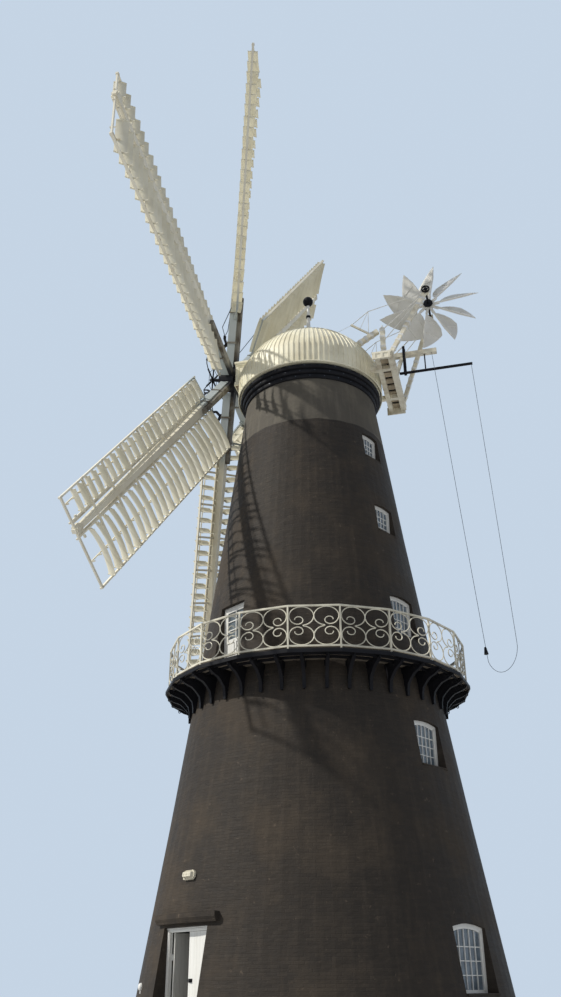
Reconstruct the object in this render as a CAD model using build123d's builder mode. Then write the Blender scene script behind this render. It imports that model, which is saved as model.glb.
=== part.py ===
import os
from math import atan, cos, degrees, pi, radians, sin, tan

from build123d import *

# A six-sailed tower windmill with a gallery, a domed cap and a fantail.
# Millimetres, +Z up, origin at the centre of the base on the ground.
# The sails face -Y, the fantail +Y. The doors stand at DOOR_ANGLE.

# Fits
SEAT = 0.3              # left between curved or fitted pieces that rest on each other
RUN = 0.3               # round a turning pin or shaft

# Tower
TOWER_HEIGHT = 19000    # brickwork, ground to curb
BASE_RADIUS = 5030
TOP_RADIUS = 2195
BATTER_HOLLOW = 97      # how far the wall line curves in at half height
WALL_AT_BASE = 640
WALL_AT_TOP = 440
WALL_SEGMENTS = 6
TOWER_SIDES = 72
FLOOR_HEIGHTS = [5400, 9300, 12600, 15400, 18000]
FLOOR_THICKNESS = 160
SLAB_THICKNESS = 80
BATTER_BREAKS = [0, 5400, 9300, 13900, TOWER_HEIGHT]

# Windows
WINDOW_ANGLE = 61.5
WINDOW_SILLS = [1400, 6600, 10200, 13560, 16250]
WINDOW_HEIGHTS = [1510, 1230, 1260, 950, 900]
WINDOW_WIDTHS = [1370, 1100, 1040, 830, 760]
HEAD_RISE = 0.06        # rise of a window head as a share of its width
HEAD_CHORDS = 4
WINDOW_SETBACK = 110
WINDOW_FRAME = 70
WINDOW_DEPTH = 90
GLASS = 6

# Ground doorway
DOOR_ANGLE = -34.7
DOORWAY_WIDTH = 1720
DOORWAY_TOP = 2880
DOOR_SETBACK = 120
DOOR_FRAME = 100
DOOR_FRAME_DEPTH = 90
LEAF_THICKNESS = 50
LEAF_GAP = 6            # round each leaf
LEAF_LIFT = 12          # foot of the leaves above the floor
HINGE_OFFSET = 22       # hinge axis from the leaf's room face
HINGE_RADIUS = 14
HINGE_PIN = 8
HINGE_HEIGHT = 120
HINGE_ARM = 12          # thickness of the arm under each pin
HINGE_STRAP = 420
HINGE_PLACES = [420, 2250]
HANDLE_HEIGHT = 1150
HANDLE_INSET = 90
HANDLE_PLATE = (45, 190)
HANDLE_PLATE_THICKNESS = 12
HANDLE_KNOB = 28
HANDLE_REACH = 45
HANDLE_SIDES = 8
HOOD_WIDTH = 2350
HOOD_HEIGHT = 220
HOOD_REACH = 150
HOOD_FOOT = 90          # reach of the hood's lower edge
HOOD_LIFT = 70
LAMP_HEIGHT = 4020
LAMP_WIDTH = 430
LAMP_BACK = 60
LAMP_COVER = 75
LAMP_RIM = 60
LAMP_TAPER = 18

# Gallery door
STAGE_DOOR_WIDTH = 1030
STAGE_DOOR_SILL = 9300
STAGE_DOOR_HEIGHT = 2000
STAGE_DOOR_FRAME = 80
STAGE_DOOR_PANES = (1440, 800)  # middle and height of the glazed part

# Gallery
GALLERY_BAYS = 20
GALLERY_PHASE = 2.3     # turn of the first post, degrees
DECK_TOP = 9250
DECK_THICKNESS = 50
DECK_RADIUS = 4450
DECK_GAP = 6
FASCIA_DEPTH = 240
FASCIA_THICKNESS = 40
RAIL_RADIUS = 4350
RAIL_HEIGHT = 1135
RAIL_LIFT = 70
RAIL_WIDTH = 50
RAIL_DEPTH = 45
POST_SIZE = 42
BRACKET_THICKNESS = 45
BRACKET_DROP = 800
BRACKET_TIP = 90
BRACKET_SHANK = 60
BRACKET_HIP = (96, 480) # from the wall line and below the deck
BRACKET_KNEE = (0.5, 240)       # share of the reach, and below the deck
BRACKETS_PER_BAY = 2

# Curb and cap
CURB_SIDES = 36
CURB_STEPS = [2250, 2320, 2390]
CURB_STEP_HEIGHTS = [160, 150, 150]
CURB_BORE = 1800
PAD_HEIGHT = 40
PAD_SIZE = 260
PAD_COUNT = 8
CAP_RING_HEIGHT = 250
CAP_RING_BORE = 1850
CAP_RADIUS = 2450
CAP_BOARD = 40
SKIRT_HANG = 30         # foot of the skirt above the curb's top
SKIRT_HEIGHT = 790
DOME_SHOULDER = (1950, 860)    # radius, height above the skirt
DOME_WAIST = (1150, 1510)
DOME_NECK = (560, 1830)
DOME_TOP = (130, 2290)
FINIAL_HEIGHT = 1120
FINIAL_BALL = 185
FINIAL_COLLAR = 72
FINIAL_COLLAR_PLACE = 0.5
FINIAL_SIDES = 16
FINIAL_FOOT = 75
FINIAL_TIP = 38

# Windshaft and front box
SHAFT_TILT = 11.65
SHAFT_HEIGHT = 20309    # of the shaft's line over the tower's centre
HUB_REACH = 3100        # along the shaft from the tower's centre
SHAFT_RADIUS = 250
SHAFT_TAIL = 1250       # shaft behind the sails' plane
SHAFT_HOLE = 300        # radius of the box's hole round the shaft
BOX_WIDTH = 1240
BOX_FRONT = 2520
BOX_BACK = 1500
BOX_BOTTOM = 20220
BOX_TOP = 21180
BOX_BOARD = 60
BEARING_LENGTH = 260
BEARING_BLOCK = 208     # length of the block under the shaft
BEARING_CHEEK = 125     # the block's height over the shaft's line

# Sails
SAIL_COUNT = 6
SAIL_PHASE = 112.6
SAIL_REACH = 11506
SAIL_HEEL = 2206
LEADING_WIDTH = 986
TRAILING_WIDTH = 1749
WEATHER_HEEL = 23.1
WEATHER_TIP = 15.5
WHIP_SETBACK = 100      # whip's line behind the hub's plane
WHIP_ROOT = 470
WHIP_SIZE = 280
WHIP_TIP = 130
WHIP_STRAIGHT = 3100    # the whip keeps its full size to here
SAIL_BAYS = 8
SAIL_BAR = (70, 45)
TIP_INSET = 90          # last bar's centre from the whip's tip
RAIL_SECTION = (50, 75)
RAIL_PAST = 60          # rails run on past the end bars
STILE_SECTION = (50, 40)
STILE_OFFSET = 235
SHUTTERS_PER_BAY = 3
SHUTTER_DEPTH = 350
SHUTTER_THICKNESS = 14
SHUTTER_OPEN = 118      # degrees that the shutters stand open
SHUTTER_GAP = 6         # at the outer rail; the inner end rests on the stile
ARM_START = 336
ARM_LENGTH = 3000
ARM_WIDTH = 240
ARM_TIP_WIDTH = 150
ARM_THICKNESS = 120
STRAP_PLACES = [1350, 2450]
STRAP_WIDTH = 70
STRAP_THICKNESS = 14
BOSS_RADIUS = 420
BOSS_SIDES = 24
BOSS_BACK = 380
BOSS_FRONT = 160
SPIDER_ARM = 620
SPIDER_REACH = 420
SPIDER_ROD = 34
SPIDER_WIDTH = 54
SPIDER_STEM = 60        # radius of the rod through the hub
SPIDER_INSET = 40       # arms behind the rod's end

# Fan stage and fantail
STAGE_HALF = 1700
STAGE_IN = 2440
STAGE_OUT = 3080
BEAM_OFFSET = 900
BEAM_SIZE = 150
BEAM_TAIL = 900         # where the long beams start on the cap ring
PLANK_COUNT = 9
PLANK_WIDTH = 250
PLANK_THICKNESS = 40
PLANK_INSET = 40        # planks' inner ends from the stage's inner edge
FAN_HUB_Y = 4310
FAN_HUB_Z = 22860
FAN_RADIUS = 1780
FAN_BLADES = 10
FAN_PHASE = 5
FAN_PITCH = 40
BLADE_ROOT = 420
BLADE_CORNER = (900, 640)
BLADE_HEEL = 192
ARM_LAP = 240           # blade's arm over its board
BLADE_THICKNESS = 22
BLADE_ARM = 55
FAN_HUB_RADIUS = 210
FAN_HUB_WIDTH = 260
FAN_HUB_SIDES = 20
AXLE_RADIUS = 40
AXLE_HALF = 920
BEARING_HALF = 740      # bearing centre from the middle
BEARING_SIZE = 190
BEARING_WIDTH = 110
FAN_POST = 130
FAN_POST_FOOT = 1560
FAN_GEAR_RADIUS = 150
FAN_GEAR_WIDTH = 60
FAN_GEAR_SIDES = 24
UPRIGHT_HEIGHT = 1500
UPRIGHT_SIZE = 160
UPRIGHT_Y = 2740
FASCIA_BOARD = 35
FASCIA_DROP = 110       # end boards hang below the beams
BRACE_SIZE = 150
BRACE_FOOT = (1500, 20720)
BRACE_TOP = 21380
HANDRAIL_SIZE = 60
HANDRAIL_IN = (1680, 21820)
HANDRAIL_OUT = (2290, 21330)
SPAR_Z = 20880
SPAR_SIZE = 160
SPAR_START = 2900
SPAR_END = 4440
SPAR_POST_SIZE = 112
SPAR_POST_FOOT = 2960
SPAR_POST_HEAD = 3280
POLE_Z = 20150
POLE_RADIUS = 50
POLE_SIDES = 10
POLE_START = 3140
POLE_END = 5580
HANGER_Y = 4020
HANGER_RADIUS = 22
HANGER_SIDES = 8
ARM_Y = 3330
ARM_SIZE = 90
ARM_BAR = 14
ARM_TOP = 21250

# Striking chain: from the pole's tip down, round a low loop, through its weight and up to the spar
CHAIN_RADIUS = 7
CHAIN_SIDES = 6
BEND_SHARE = 0.45       # of the shorter run beside a bend
CHAIN_POINTS = [
    (0, 5540, POLE_Z - POLE_RADIUS - 2 * SEAT),
    (10, 5900, 10360),
    (12, 5884, 10150),
    (18, 5822, 9915),
    (28, 5704, 9700),
    (40, 5540, 9545),
    (52, 5352, 9490),
    (62, 5180, 9572),
    (68, 5064, 9736),
    (70, 5012, 9936),
    (66, 4272, SPAR_Z - SPAR_SIZE / 2 - 2 * SEAT),
]
WEIGHT_LIFT = 120       # foot of the weight above the last bend
WEIGHT_HEIGHT = 210
WEIGHT_RADIUS = 62
WEIGHT_NECK = 30
WEIGHT_SIDES = 12

os.makedirs("parts", exist_ok=True)


def save(part, name):
    part.label = name
    export_step(part, f"parts/{name}.step")


# Tower outline
def batter_radius(z):
    share = z / TOWER_HEIGHT
    straight = BASE_RADIUS + (TOP_RADIUS - BASE_RADIUS) * share
    return straight - 4 * BATTER_HOLLOW * share * (1 - share)


def outer_radius(z):
    for low, high in zip(BATTER_BREAKS, BATTER_BREAKS[1:]):
        if z <= high:
            share = (z - low) / (high - low)
            return batter_radius(low) + (batter_radius(high) - batter_radius(low)) * share
    return TOP_RADIUS


def inner_radius(z):
    share = z / TOWER_HEIGHT
    inside_base = BASE_RADIUS - WALL_AT_BASE
    inside_top = TOP_RADIUS - WALL_AT_TOP
    return inside_base + (inside_top - inside_base) * share


def wall_plane(angle, radius, z):
    out = Vector(cos(radians(angle)), sin(radians(angle)), 0)
    across = Vector(-out.Y, out.X, 0)
    return Plane(origin=out * radius + Vector(0, 0, z), x_dir=across, z_dir=out)


def opening_outline(width, height, inset):
    """A window opening with a slightly arched head, drawn smaller by inset all round."""
    half = width / 2 - inset
    spring = height - HEAD_RISE * width - inset
    chords = [-1 + 2 * step / HEAD_CHORDS for step in range(HEAD_CHORDS + 1)]
    head = [(half * share, spring + HEAD_RISE * width * (1 - share**2)) for share in chords]
    with BuildLine() as outline:
        Polyline((-half, inset), *head, (half, inset), close=True)
    make_face(outline.edges())


def taper_ring(low_radius, high_radius, low, high, sides, mode=Mode.ADD):
    """A many-sided cone between two levels; the radii are to the middles of its sides."""
    lean = degrees(atan(abs(low_radius - high_radius) / (high - low)))
    wide_low = low_radius >= high_radius
    with BuildSketch(Plane.XY.offset(low if wide_low else high)) as wide_end:
        RegularPolygon(max(low_radius, high_radius), sides, major_radius=False)
    extrude(wide_end.sketch, amount=(high - low) * (1 if wide_low else -1), taper=lean, mode=mode)


# The brickwork's corners lie on the tower's circle
TO_FLAT = cos(pi / TOWER_SIDES)
with BuildPart() as tower:
    for low, high in zip(BATTER_BREAKS, BATTER_BREAKS[1:]):
        taper_ring(outer_radius(low) * TO_FLAT, outer_radius(high) * TO_FLAT, low, high, TOWER_SIDES)
    taper_ring(inner_radius(0) * TO_FLAT, inner_radius(TOWER_HEIGHT) * TO_FLAT, 0, TOWER_HEIGHT,
               TOWER_SIDES, Mode.SUBTRACT)
    for angle in (WINDOW_ANGLE, WINDOW_ANGLE + 180):
        for sill, height, width in zip(WINDOW_SILLS, WINDOW_HEIGHTS, WINDOW_WIDTHS):
            with BuildSketch(wall_plane(angle, BASE_RADIUS, sill)):
                opening_outline(width, height, 0)
            extrude(amount=-(BASE_RADIUS - TOP_RADIUS / 3), mode=Mode.SUBTRACT)
    with BuildSketch(wall_plane(DOOR_ANGLE, BASE_RADIUS, STAGE_DOOR_SILL)):
        with Locations((0, STAGE_DOOR_HEIGHT / 2)):
            Rectangle(STAGE_DOOR_WIDTH, STAGE_DOOR_HEIGHT)
    extrude(amount=-(BASE_RADIUS - TOP_RADIUS / 3), mode=Mode.SUBTRACT)

# Wall segments, with the strip over the doorway apart
with BuildPart() as doorway_strip:
    with BuildSketch(wall_plane(DOOR_ANGLE, 0, 0)):
        with Locations((0, TOWER_HEIGHT / 2)):
            Rectangle(DOORWAY_WIDTH, TOWER_HEIGHT)
    extrude(amount=BASE_RADIUS * 1.1)

with BuildPart() as wall_over_door:
    add(tower.part)
    add(doorway_strip.part, mode=Mode.INTERSECT)
    with BuildSketch(wall_plane(DOOR_ANGLE, 0, 0)):
        with Locations((0, DOORWAY_TOP / 2)):
            Rectangle(DOORWAY_WIDTH, DOORWAY_TOP)
    extrude(amount=BASE_RADIUS * 1.1, mode=Mode.SUBTRACT)
save(wall_over_door.part, "wall_over_door")

SEGMENT_TURN = 360 / WALL_SEGMENTS
for number in range(WALL_SEGMENTS):
    with BuildPart() as wall:
        add(tower.part)
        start = DOOR_ANGLE + number * SEGMENT_TURN
        with BuildSketch():
            with BuildLine():
                reach = BASE_RADIUS * 1.4
                rim = [
                    (reach * cos(radians(start + turn)), reach * sin(radians(start + turn)))
                    for turn in (0, SEGMENT_TURN / 2, SEGMENT_TURN)
                ]
                Polyline((0, 0), *rim, close=True)
            make_face()
        extrude(amount=TOWER_HEIGHT, mode=Mode.INTERSECT)
        add(doorway_strip.part, mode=Mode.SUBTRACT)
    save(wall.part, f"wall_{number + 1}")

# Floors
with BuildPart() as ground_floor:
    with BuildSketch():
        RegularPolygon(inner_radius(SLAB_THICKNESS) - SEAT, TOWER_SIDES)
    extrude(amount=SLAB_THICKNESS)
    with BuildSketch(wall_plane(DOOR_ANGLE, 0, 0)):
        with Locations((0, SLAB_THICKNESS / 2)):
            Rectangle(DOORWAY_WIDTH - 2 * SEAT, SLAB_THICKNESS)
    extrude(amount=outer_radius(SLAB_THICKNESS) * cos(DOORWAY_WIDTH / 2 / BASE_RADIUS))
save(ground_floor.part, "ground_floor")

with BuildPart() as upper_floors:
    for height in FLOOR_HEIGHTS:
        with BuildSketch(Plane.XY.offset(height - FLOOR_THICKNESS)):
            RegularPolygon(inner_radius(height) - SEAT, TOWER_SIDES)
        extrude(amount=FLOOR_THICKNESS)
save(upper_floors.part, "upper_floors")

# Windows
with BuildPart() as window_frames:
    for angle in (WINDOW_ANGLE, WINDOW_ANGLE + 180):
        for sill, height, width in zip(WINDOW_SILLS, WINDOW_HEIGHTS, WINDOW_WIDTHS):
            face_radius = outer_radius(sill + height) - WINDOW_SETBACK
            with BuildSketch(wall_plane(angle, face_radius, sill)):
                opening_outline(width, height, SEAT)
            extrude(amount=-WINDOW_DEPTH)
            with BuildSketch(wall_plane(angle, face_radius, sill)):
                opening_outline(width, height, WINDOW_FRAME)
            extrude(amount=-WINDOW_DEPTH, mode=Mode.SUBTRACT)
save(window_frames.part, "window_frames")

with BuildPart() as window_glass:
    for angle in (WINDOW_ANGLE, WINDOW_ANGLE + 180):
        for sill, height, width in zip(WINDOW_SILLS, WINDOW_HEIGHTS, WINDOW_WIDTHS):
            pane_radius = outer_radius(sill + height) - WINDOW_SETBACK - WINDOW_DEPTH / 2
            with BuildSketch(wall_plane(angle, pane_radius, sill)):
                opening_outline(width, height, WINDOW_FRAME + SEAT)
            extrude(amount=-GLASS)
save(window_glass.part, "window_glass")

# Ground doorway: frame with hinge pins, and two leaves
# Local x runs across the doorway, y up, z out of the wall.
DOOR_FACE = outer_radius(DOORWAY_TOP) * cos(DOORWAY_WIDTH / 2 / BASE_RADIUS) - DOOR_SETBACK
FRAME_BACK = DOOR_FACE - DOOR_FRAME_DEPTH
LEAF_EDGE = DOORWAY_WIDTH / 2 - DOOR_FRAME - LEAF_GAP
HINGE_X = LEAF_EDGE + LEAF_GAP / 2
LEAF_BACK = FRAME_BACK + LEAF_GAP
HINGE_Z = LEAF_BACK - HINGE_OFFSET
LEAF_BOTTOM = SLAB_THICKNESS + LEAF_LIFT
LEAF_TOP = DOORWAY_TOP - DOOR_FRAME - LEAF_GAP


def door_plane(depth):
    return wall_plane(DOOR_ANGLE, depth, 0)


def hinge_point(side):
    plane = door_plane(HINGE_Z)
    return plane.from_local_coords(Vector(side * HINGE_X, 0, 0))


with BuildPart() as door_frame:
    with BuildSketch(door_plane(DOOR_FACE)):
        with Locations((0, (SLAB_THICKNESS + DOORWAY_TOP) / 2)):
            Rectangle(DOORWAY_WIDTH - 2 * SEAT, DOORWAY_TOP - SLAB_THICKNESS - SEAT)
        with Locations((0, (DOORWAY_TOP - DOOR_FRAME) / 2)):
            Rectangle(DOORWAY_WIDTH - 2 * DOOR_FRAME, DOORWAY_TOP - DOOR_FRAME,
                      mode=Mode.SUBTRACT)
    extrude(amount=-DOOR_FRAME_DEPTH)
    for side in (-1, 1):
        for place in HINGE_PLACES:
            pintle = wall_plane(DOOR_ANGLE, HINGE_Z, place - HINGE_HEIGHT / 2 - SEAT)
            at_pin = pintle.from_local_coords(Vector(side * HINGE_X, 0, 0))
            with BuildSketch(Plane(at_pin)):
                Circle(HINGE_PIN)
            extrude(amount=HINGE_HEIGHT)
            arm_reach = FRAME_BACK - HINGE_Z
            arm_middle = Vector(side * (HINGE_X + HINGE_RADIUS), 0, (arm_reach - HINGE_PIN) / 2)
            with Locations(Plane(pintle.from_local_coords(arm_middle),
                                 x_dir=pintle.x_dir, z_dir=Vector(0, 0, 1))):
                Box(3 * HINGE_RADIUS, arm_reach + HINGE_PIN, HINGE_ARM,
                    align=(Align.CENTER, Align.CENTER, Align.MAX))
save(door_frame.part, "door_frame")


def door_leaf(side, opened):
    """One leaf with its straps, knuckles and handle, turned about its hinge by opened."""
    with BuildPart() as leaf:
        with BuildSketch(door_plane(LEAF_BACK)):
            with Locations((side * (LEAF_EDGE + LEAF_GAP / 2) / 2, (LEAF_BOTTOM + LEAF_TOP) / 2)):
                Rectangle(LEAF_EDGE - LEAF_GAP / 2, LEAF_TOP - LEAF_BOTTOM)
        extrude(amount=LEAF_THICKNESS)
        for place in HINGE_PLACES:
            with BuildSketch(door_plane(LEAF_BACK)):
                with Locations((side * (HINGE_X - HINGE_STRAP / 2), place)):
                    Rectangle(HINGE_STRAP, HINGE_HEIGHT / 2)
            extrude(amount=-(HINGE_OFFSET - HINGE_PIN))
            at_pin = hinge_point(side) + Vector(0, 0, place - HINGE_HEIGHT / 2)
            with BuildSketch(Plane(at_pin)):
                Circle(HINGE_RADIUS)
            extrude(amount=HINGE_HEIGHT)
            with BuildSketch(Plane(at_pin)):
                Circle(HINGE_PIN + RUN)
            extrude(amount=HINGE_HEIGHT, mode=Mode.SUBTRACT)
        if side > 0:
            with BuildSketch(door_plane(LEAF_BACK + LEAF_THICKNESS)):
                with Locations((side * HANDLE_INSET, HANDLE_HEIGHT)):
                    Rectangle(*HANDLE_PLATE)
            extrude(amount=HANDLE_PLATE_THICKNESS)
            with BuildSketch(door_plane(LEAF_BACK + LEAF_THICKNESS + HANDLE_PLATE_THICKNESS)):
                with Locations((side * HANDLE_INSET, HANDLE_HEIGHT)):
                    RegularPolygon(HANDLE_KNOB, HANDLE_SIDES)
            extrude(amount=HANDLE_REACH)
    hinge = Axis(hinge_point(side), (0, 0, 1))
    return leaf.part.rotate(hinge, opened)


with BuildPart() as door_left:
    add(door_leaf(-1, 90))
save(door_left.part, "door_left")

with BuildPart() as door_right:
    add(door_leaf(1, 0))
save(door_right.part, "door_right")


def wall_band(width, low, high, foot, reach):
    """A band on the outside of the wall over the doorway, sloped back at its lower edge."""
    turn = degrees(width / outer_radius(low))
    with BuildPart() as band:
        with BuildSketch(Plane.XZ):
            with BuildLine():
                Polyline(
                    (outer_radius(low) + SEAT, low),
                    (outer_radius(low) + foot, low),
                    (outer_radius(low) + reach, (low + high) / 2),
                    (outer_radius(low) + reach, high),
                    (outer_radius(high) + SEAT, high),
                    close=True,
                )
            make_face()
        revolve(axis=Axis.Z, revolution_arc=turn)
    return band.part.rotate(Axis.Z, DOOR_ANGLE - turn / 2)


with BuildPart() as door_hood:
    add(wall_band(HOOD_WIDTH, DOORWAY_TOP + HOOD_LIFT, DOORWAY_TOP + HOOD_LIFT + HOOD_HEIGHT,
                  HOOD_FOOT, HOOD_REACH))
save(door_hood.part, "door_hood")

LAMP_LEAN = atan((outer_radius(LAMP_HEIGHT) - outer_radius(LAMP_HEIGHT + LAMP_WIDTH)) / LAMP_WIDTH)
with BuildPart() as bulkhead_lamp:
    on_wall = wall_plane(DOOR_ANGLE, outer_radius(LAMP_HEIGHT) + SEAT, LAMP_HEIGHT)
    wall_out = on_wall.z_dir * cos(LAMP_LEAN) + Vector(0, 0, sin(LAMP_LEAN))
    lamp_plane = Plane(origin=on_wall.origin, x_dir=on_wall.x_dir, z_dir=wall_out)
    with BuildSketch(lamp_plane) as lamp_base:
        Rectangle(LAMP_WIDTH, LAMP_WIDTH / 2)
        chamfer(lamp_base.vertices(), LAMP_RIM)
    extrude(amount=LAMP_BACK)
    with BuildSketch(lamp_plane.offset(LAMP_BACK)) as lamp_front:
        Rectangle(LAMP_WIDTH - LAMP_RIM, LAMP_WIDTH / 2 - LAMP_RIM)
        chamfer(lamp_front.vertices(), LAMP_RIM / 2)
    extrude(amount=LAMP_COVER, taper=LAMP_TAPER)
save(bulkhead_lamp.part, "bulkhead_lamp")

# Gallery door, one glazed leaf in its frame, shut
with BuildPart() as stage_door:
    head_radius = outer_radius(STAGE_DOOR_SILL + STAGE_DOOR_HEIGHT)
    stage_face = head_radius * cos(STAGE_DOOR_WIDTH / 2 / head_radius) - WINDOW_SETBACK
    with BuildSketch(wall_plane(DOOR_ANGLE, stage_face, STAGE_DOOR_SILL + SEAT)):
        with Locations((0, STAGE_DOOR_HEIGHT / 2)):
            Rectangle(STAGE_DOOR_WIDTH - 2 * SEAT, STAGE_DOOR_HEIGHT - 2 * SEAT)
    extrude(amount=-WINDOW_DEPTH)
    with BuildSketch(wall_plane(DOOR_ANGLE, stage_face, STAGE_DOOR_SILL + SEAT)):
        with Locations((0, STAGE_DOOR_PANES[0])):
            Rectangle(STAGE_DOOR_WIDTH - 4 * STAGE_DOOR_FRAME, STAGE_DOOR_PANES[1])
    extrude(amount=-WINDOW_DEPTH / 2, mode=Mode.SUBTRACT)
save(stage_door.part, "stage_door")

# Gallery
BAY_TURN = 360 / GALLERY_BAYS


def bay_plane(angle, radius, z):
    """Flat plane at a place on the gallery ring, x across the bay, y outwards."""
    out = Vector(cos(radians(angle)), sin(radians(angle)), 0)
    return Plane(origin=out * radius + Vector(0, 0, z), x_dir=(out.Y, -out.X, 0), z_dir=(0, 0, 1))


def bay_centres():
    return [GALLERY_PHASE + (bay + 0.5) * BAY_TURN for bay in range(GALLERY_BAYS)]


def sector(inner, outer, gap):
    """A bay-wide piece of ring, straight-edged, on the plane of bay_plane(angle, 0, z)."""
    slope = tan(radians(BAY_TURN / 2))
    with BuildLine() as outline:
        Polyline(
            (-inner * slope + gap, inner),
            (-outer * slope + gap, outer),
            (outer * slope - gap, outer),
            (inner * slope - gap, inner),
            close=True,
        )
    make_face(outline.edges())


DECK_BOTTOM = DECK_TOP - DECK_THICKNESS
DECK_APOTHEM = DECK_RADIUS * cos(radians(BAY_TURN / 2))
with BuildPart() as gallery_deck:
    for centre in bay_centres():
        with BuildSketch(bay_plane(centre, 0, DECK_BOTTOM)):
            sector(outer_radius(DECK_BOTTOM) + SEAT, DECK_APOTHEM - FASCIA_THICKNESS, DECK_GAP)
        extrude(amount=DECK_THICKNESS)
save(gallery_deck.part, "gallery_deck")

with BuildPart() as gallery_fascia:
    for centre in bay_centres():
        with BuildSketch(bay_plane(centre, 0, DECK_TOP - FASCIA_DEPTH)):
            sector(DECK_APOTHEM - FASCIA_THICKNESS, DECK_APOTHEM, DECK_GAP)
        extrude(amount=FASCIA_DEPTH)
save(gallery_fascia.part, "gallery_fascia")

BRACKET_REACH = DECK_APOTHEM - FASCIA_THICKNESS
BRACKET_TURN = BAY_TURN / BRACKETS_PER_BAY
BRACKET_COUNT = GALLERY_BAYS * BRACKETS_PER_BAY
BRACKET_FOOT = DECK_BOTTOM - BRACKET_DROP
with BuildPart() as gallery_brackets:
    for number in range(BRACKET_COUNT):
        angle = GALLERY_PHASE + (number + 0.5) * BRACKET_TURN
        upright = Plane(origin=(0, 0, 0), x_dir=(cos(radians(angle)), sin(radians(angle)), 0),
                        z_dir=(sin(radians(angle)), -cos(radians(angle)), 0))
        wall_top = outer_radius(DECK_BOTTOM) + SEAT
        wall_foot = outer_radius(BRACKET_FOOT) + SEAT
        reach = BRACKET_REACH - SEAT
        with BuildSketch(upright):
            with BuildLine():
                Polyline(
                    (wall_foot, BRACKET_FOOT),
                    (wall_top, DECK_BOTTOM),
                    (reach, DECK_BOTTOM),
                    (reach, DECK_BOTTOM - BRACKET_TIP),
                    (wall_foot + (reach - wall_foot) * BRACKET_KNEE[0], DECK_BOTTOM - BRACKET_KNEE[1]),
                    (wall_foot + BRACKET_HIP[0], DECK_BOTTOM - BRACKET_HIP[1]),
                    (wall_foot + BRACKET_SHANK, BRACKET_FOOT),
                    close=True,
                )
            make_face()
        extrude(amount=BRACKET_THICKNESS / 2, both=True)
save(gallery_brackets.part, "gallery_brackets")

RAIL_APOTHEM = RAIL_RADIUS * cos(radians(BAY_TURN / 2))
with BuildPart() as gallery_posts:
    for post in range(GALLERY_BAYS):
        angle = GALLERY_PHASE + post * BAY_TURN
        with BuildSketch(bay_plane(angle, RAIL_RADIUS, DECK_TOP)):
            Rectangle(POST_SIZE, POST_SIZE)
        extrude(amount=RAIL_LIFT + RAIL_HEIGHT)
save(gallery_posts.part, "gallery_posts")

RAIL_CUT = (POST_SIZE / 2 + SEAT) / cos(radians(BAY_TURN / 2))
with BuildPart() as gallery_rails:
    for centre in bay_centres():
        for height in (DECK_TOP + RAIL_LIFT, DECK_TOP + RAIL_LIFT + RAIL_HEIGHT - RAIL_DEPTH):
            with BuildSketch(bay_plane(centre, 0, height)):
                sector(RAIL_APOTHEM - RAIL_WIDTH / 2, RAIL_APOTHEM + RAIL_WIDTH / 2, RAIL_CUT)
            extrude(amount=RAIL_DEPTH)
save(gallery_rails.part, "gallery_rails")

# Curb
CURB_TOP = TOWER_HEIGHT + sum(CURB_STEP_HEIGHTS)
with BuildPart() as curb:
    level = TOWER_HEIGHT
    for radius, height in zip(CURB_STEPS, CURB_STEP_HEIGHTS):
        with BuildSketch(Plane.XY.offset(level)):
            RegularPolygon(radius, CURB_SIDES)
        extrude(amount=height)
        level += height
    with BuildSketch(Plane.XY.offset(TOWER_HEIGHT)):
        RegularPolygon(CURB_BORE, CURB_SIDES)
    extrude(amount=CURB_TOP - TOWER_HEIGHT, mode=Mode.SUBTRACT)
save(curb.part, "curb")

# Cap ring on its sliding pads
PAD_CIRCLE = (CURB_BORE + CURB_STEPS[-1]) / 2
RING_BOTTOM = CURB_TOP + RUN + PAD_HEIGHT
RING_TOP = RING_BOTTOM + CAP_RING_HEIGHT
with BuildPart() as cap_ring:
    with BuildSketch(Plane.XY.offset(RING_BOTTOM)):
        RegularPolygon(CAP_RADIUS - CAP_BOARD, CURB_SIDES, major_radius=False)
        RegularPolygon(CAP_RING_BORE, CURB_SIDES, major_radius=False, mode=Mode.SUBTRACT)
    extrude(amount=CAP_RING_HEIGHT)
    with BuildSketch(Plane.XY.offset(CURB_TOP + RUN)):
        with PolarLocations(PAD_CIRCLE, PAD_COUNT, start_angle=180 / PAD_COUNT):
            Rectangle(PAD_SIZE, PAD_SIZE)
    extrude(amount=PAD_HEIGHT)
save(cap_ring.part, "cap_ring")

# Dome outline: straight skirt, full shoulder, hollow neck
SKIRT_BOTTOM = CURB_TOP + SKIRT_HANG
SKIRT_TOP = SKIRT_BOTTOM + SKIRT_HEIGHT


def arc_between(start, middle, end, steps):
    """Points along the arc through three points, the first left out."""
    arc = Edge.make_three_point_arc(Vector(*start), Vector(*middle), Vector(*end))
    return [arc.position_at(step / steps) for step in range(1, steps + 1)]


def dome_levels(inset):
    """Radius and height of each ring of board ends, from the skirt's foot to the top."""
    shoulder = arc_between((CAP_RADIUS, 0), DOME_SHOULDER, DOME_WAIST, 5)
    neck = arc_between(DOME_WAIST, DOME_NECK, DOME_TOP, 3)
    levels = [(CAP_RADIUS - inset, SKIRT_BOTTOM), (CAP_RADIUS - inset, SKIRT_TOP)]
    for point in shoulder + neck:
        levels.append((point.X - inset, SKIRT_TOP + point.Y))
    return levels


def gored_solid(levels, mode=Mode.ADD):
    """A many-sided dome: flat gores between rings of board ends."""
    for (low_radius, low), (high_radius, high) in zip(levels, levels[1:]):
        taper_ring(low_radius, high_radius, low, high, CURB_SIDES, mode)


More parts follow.
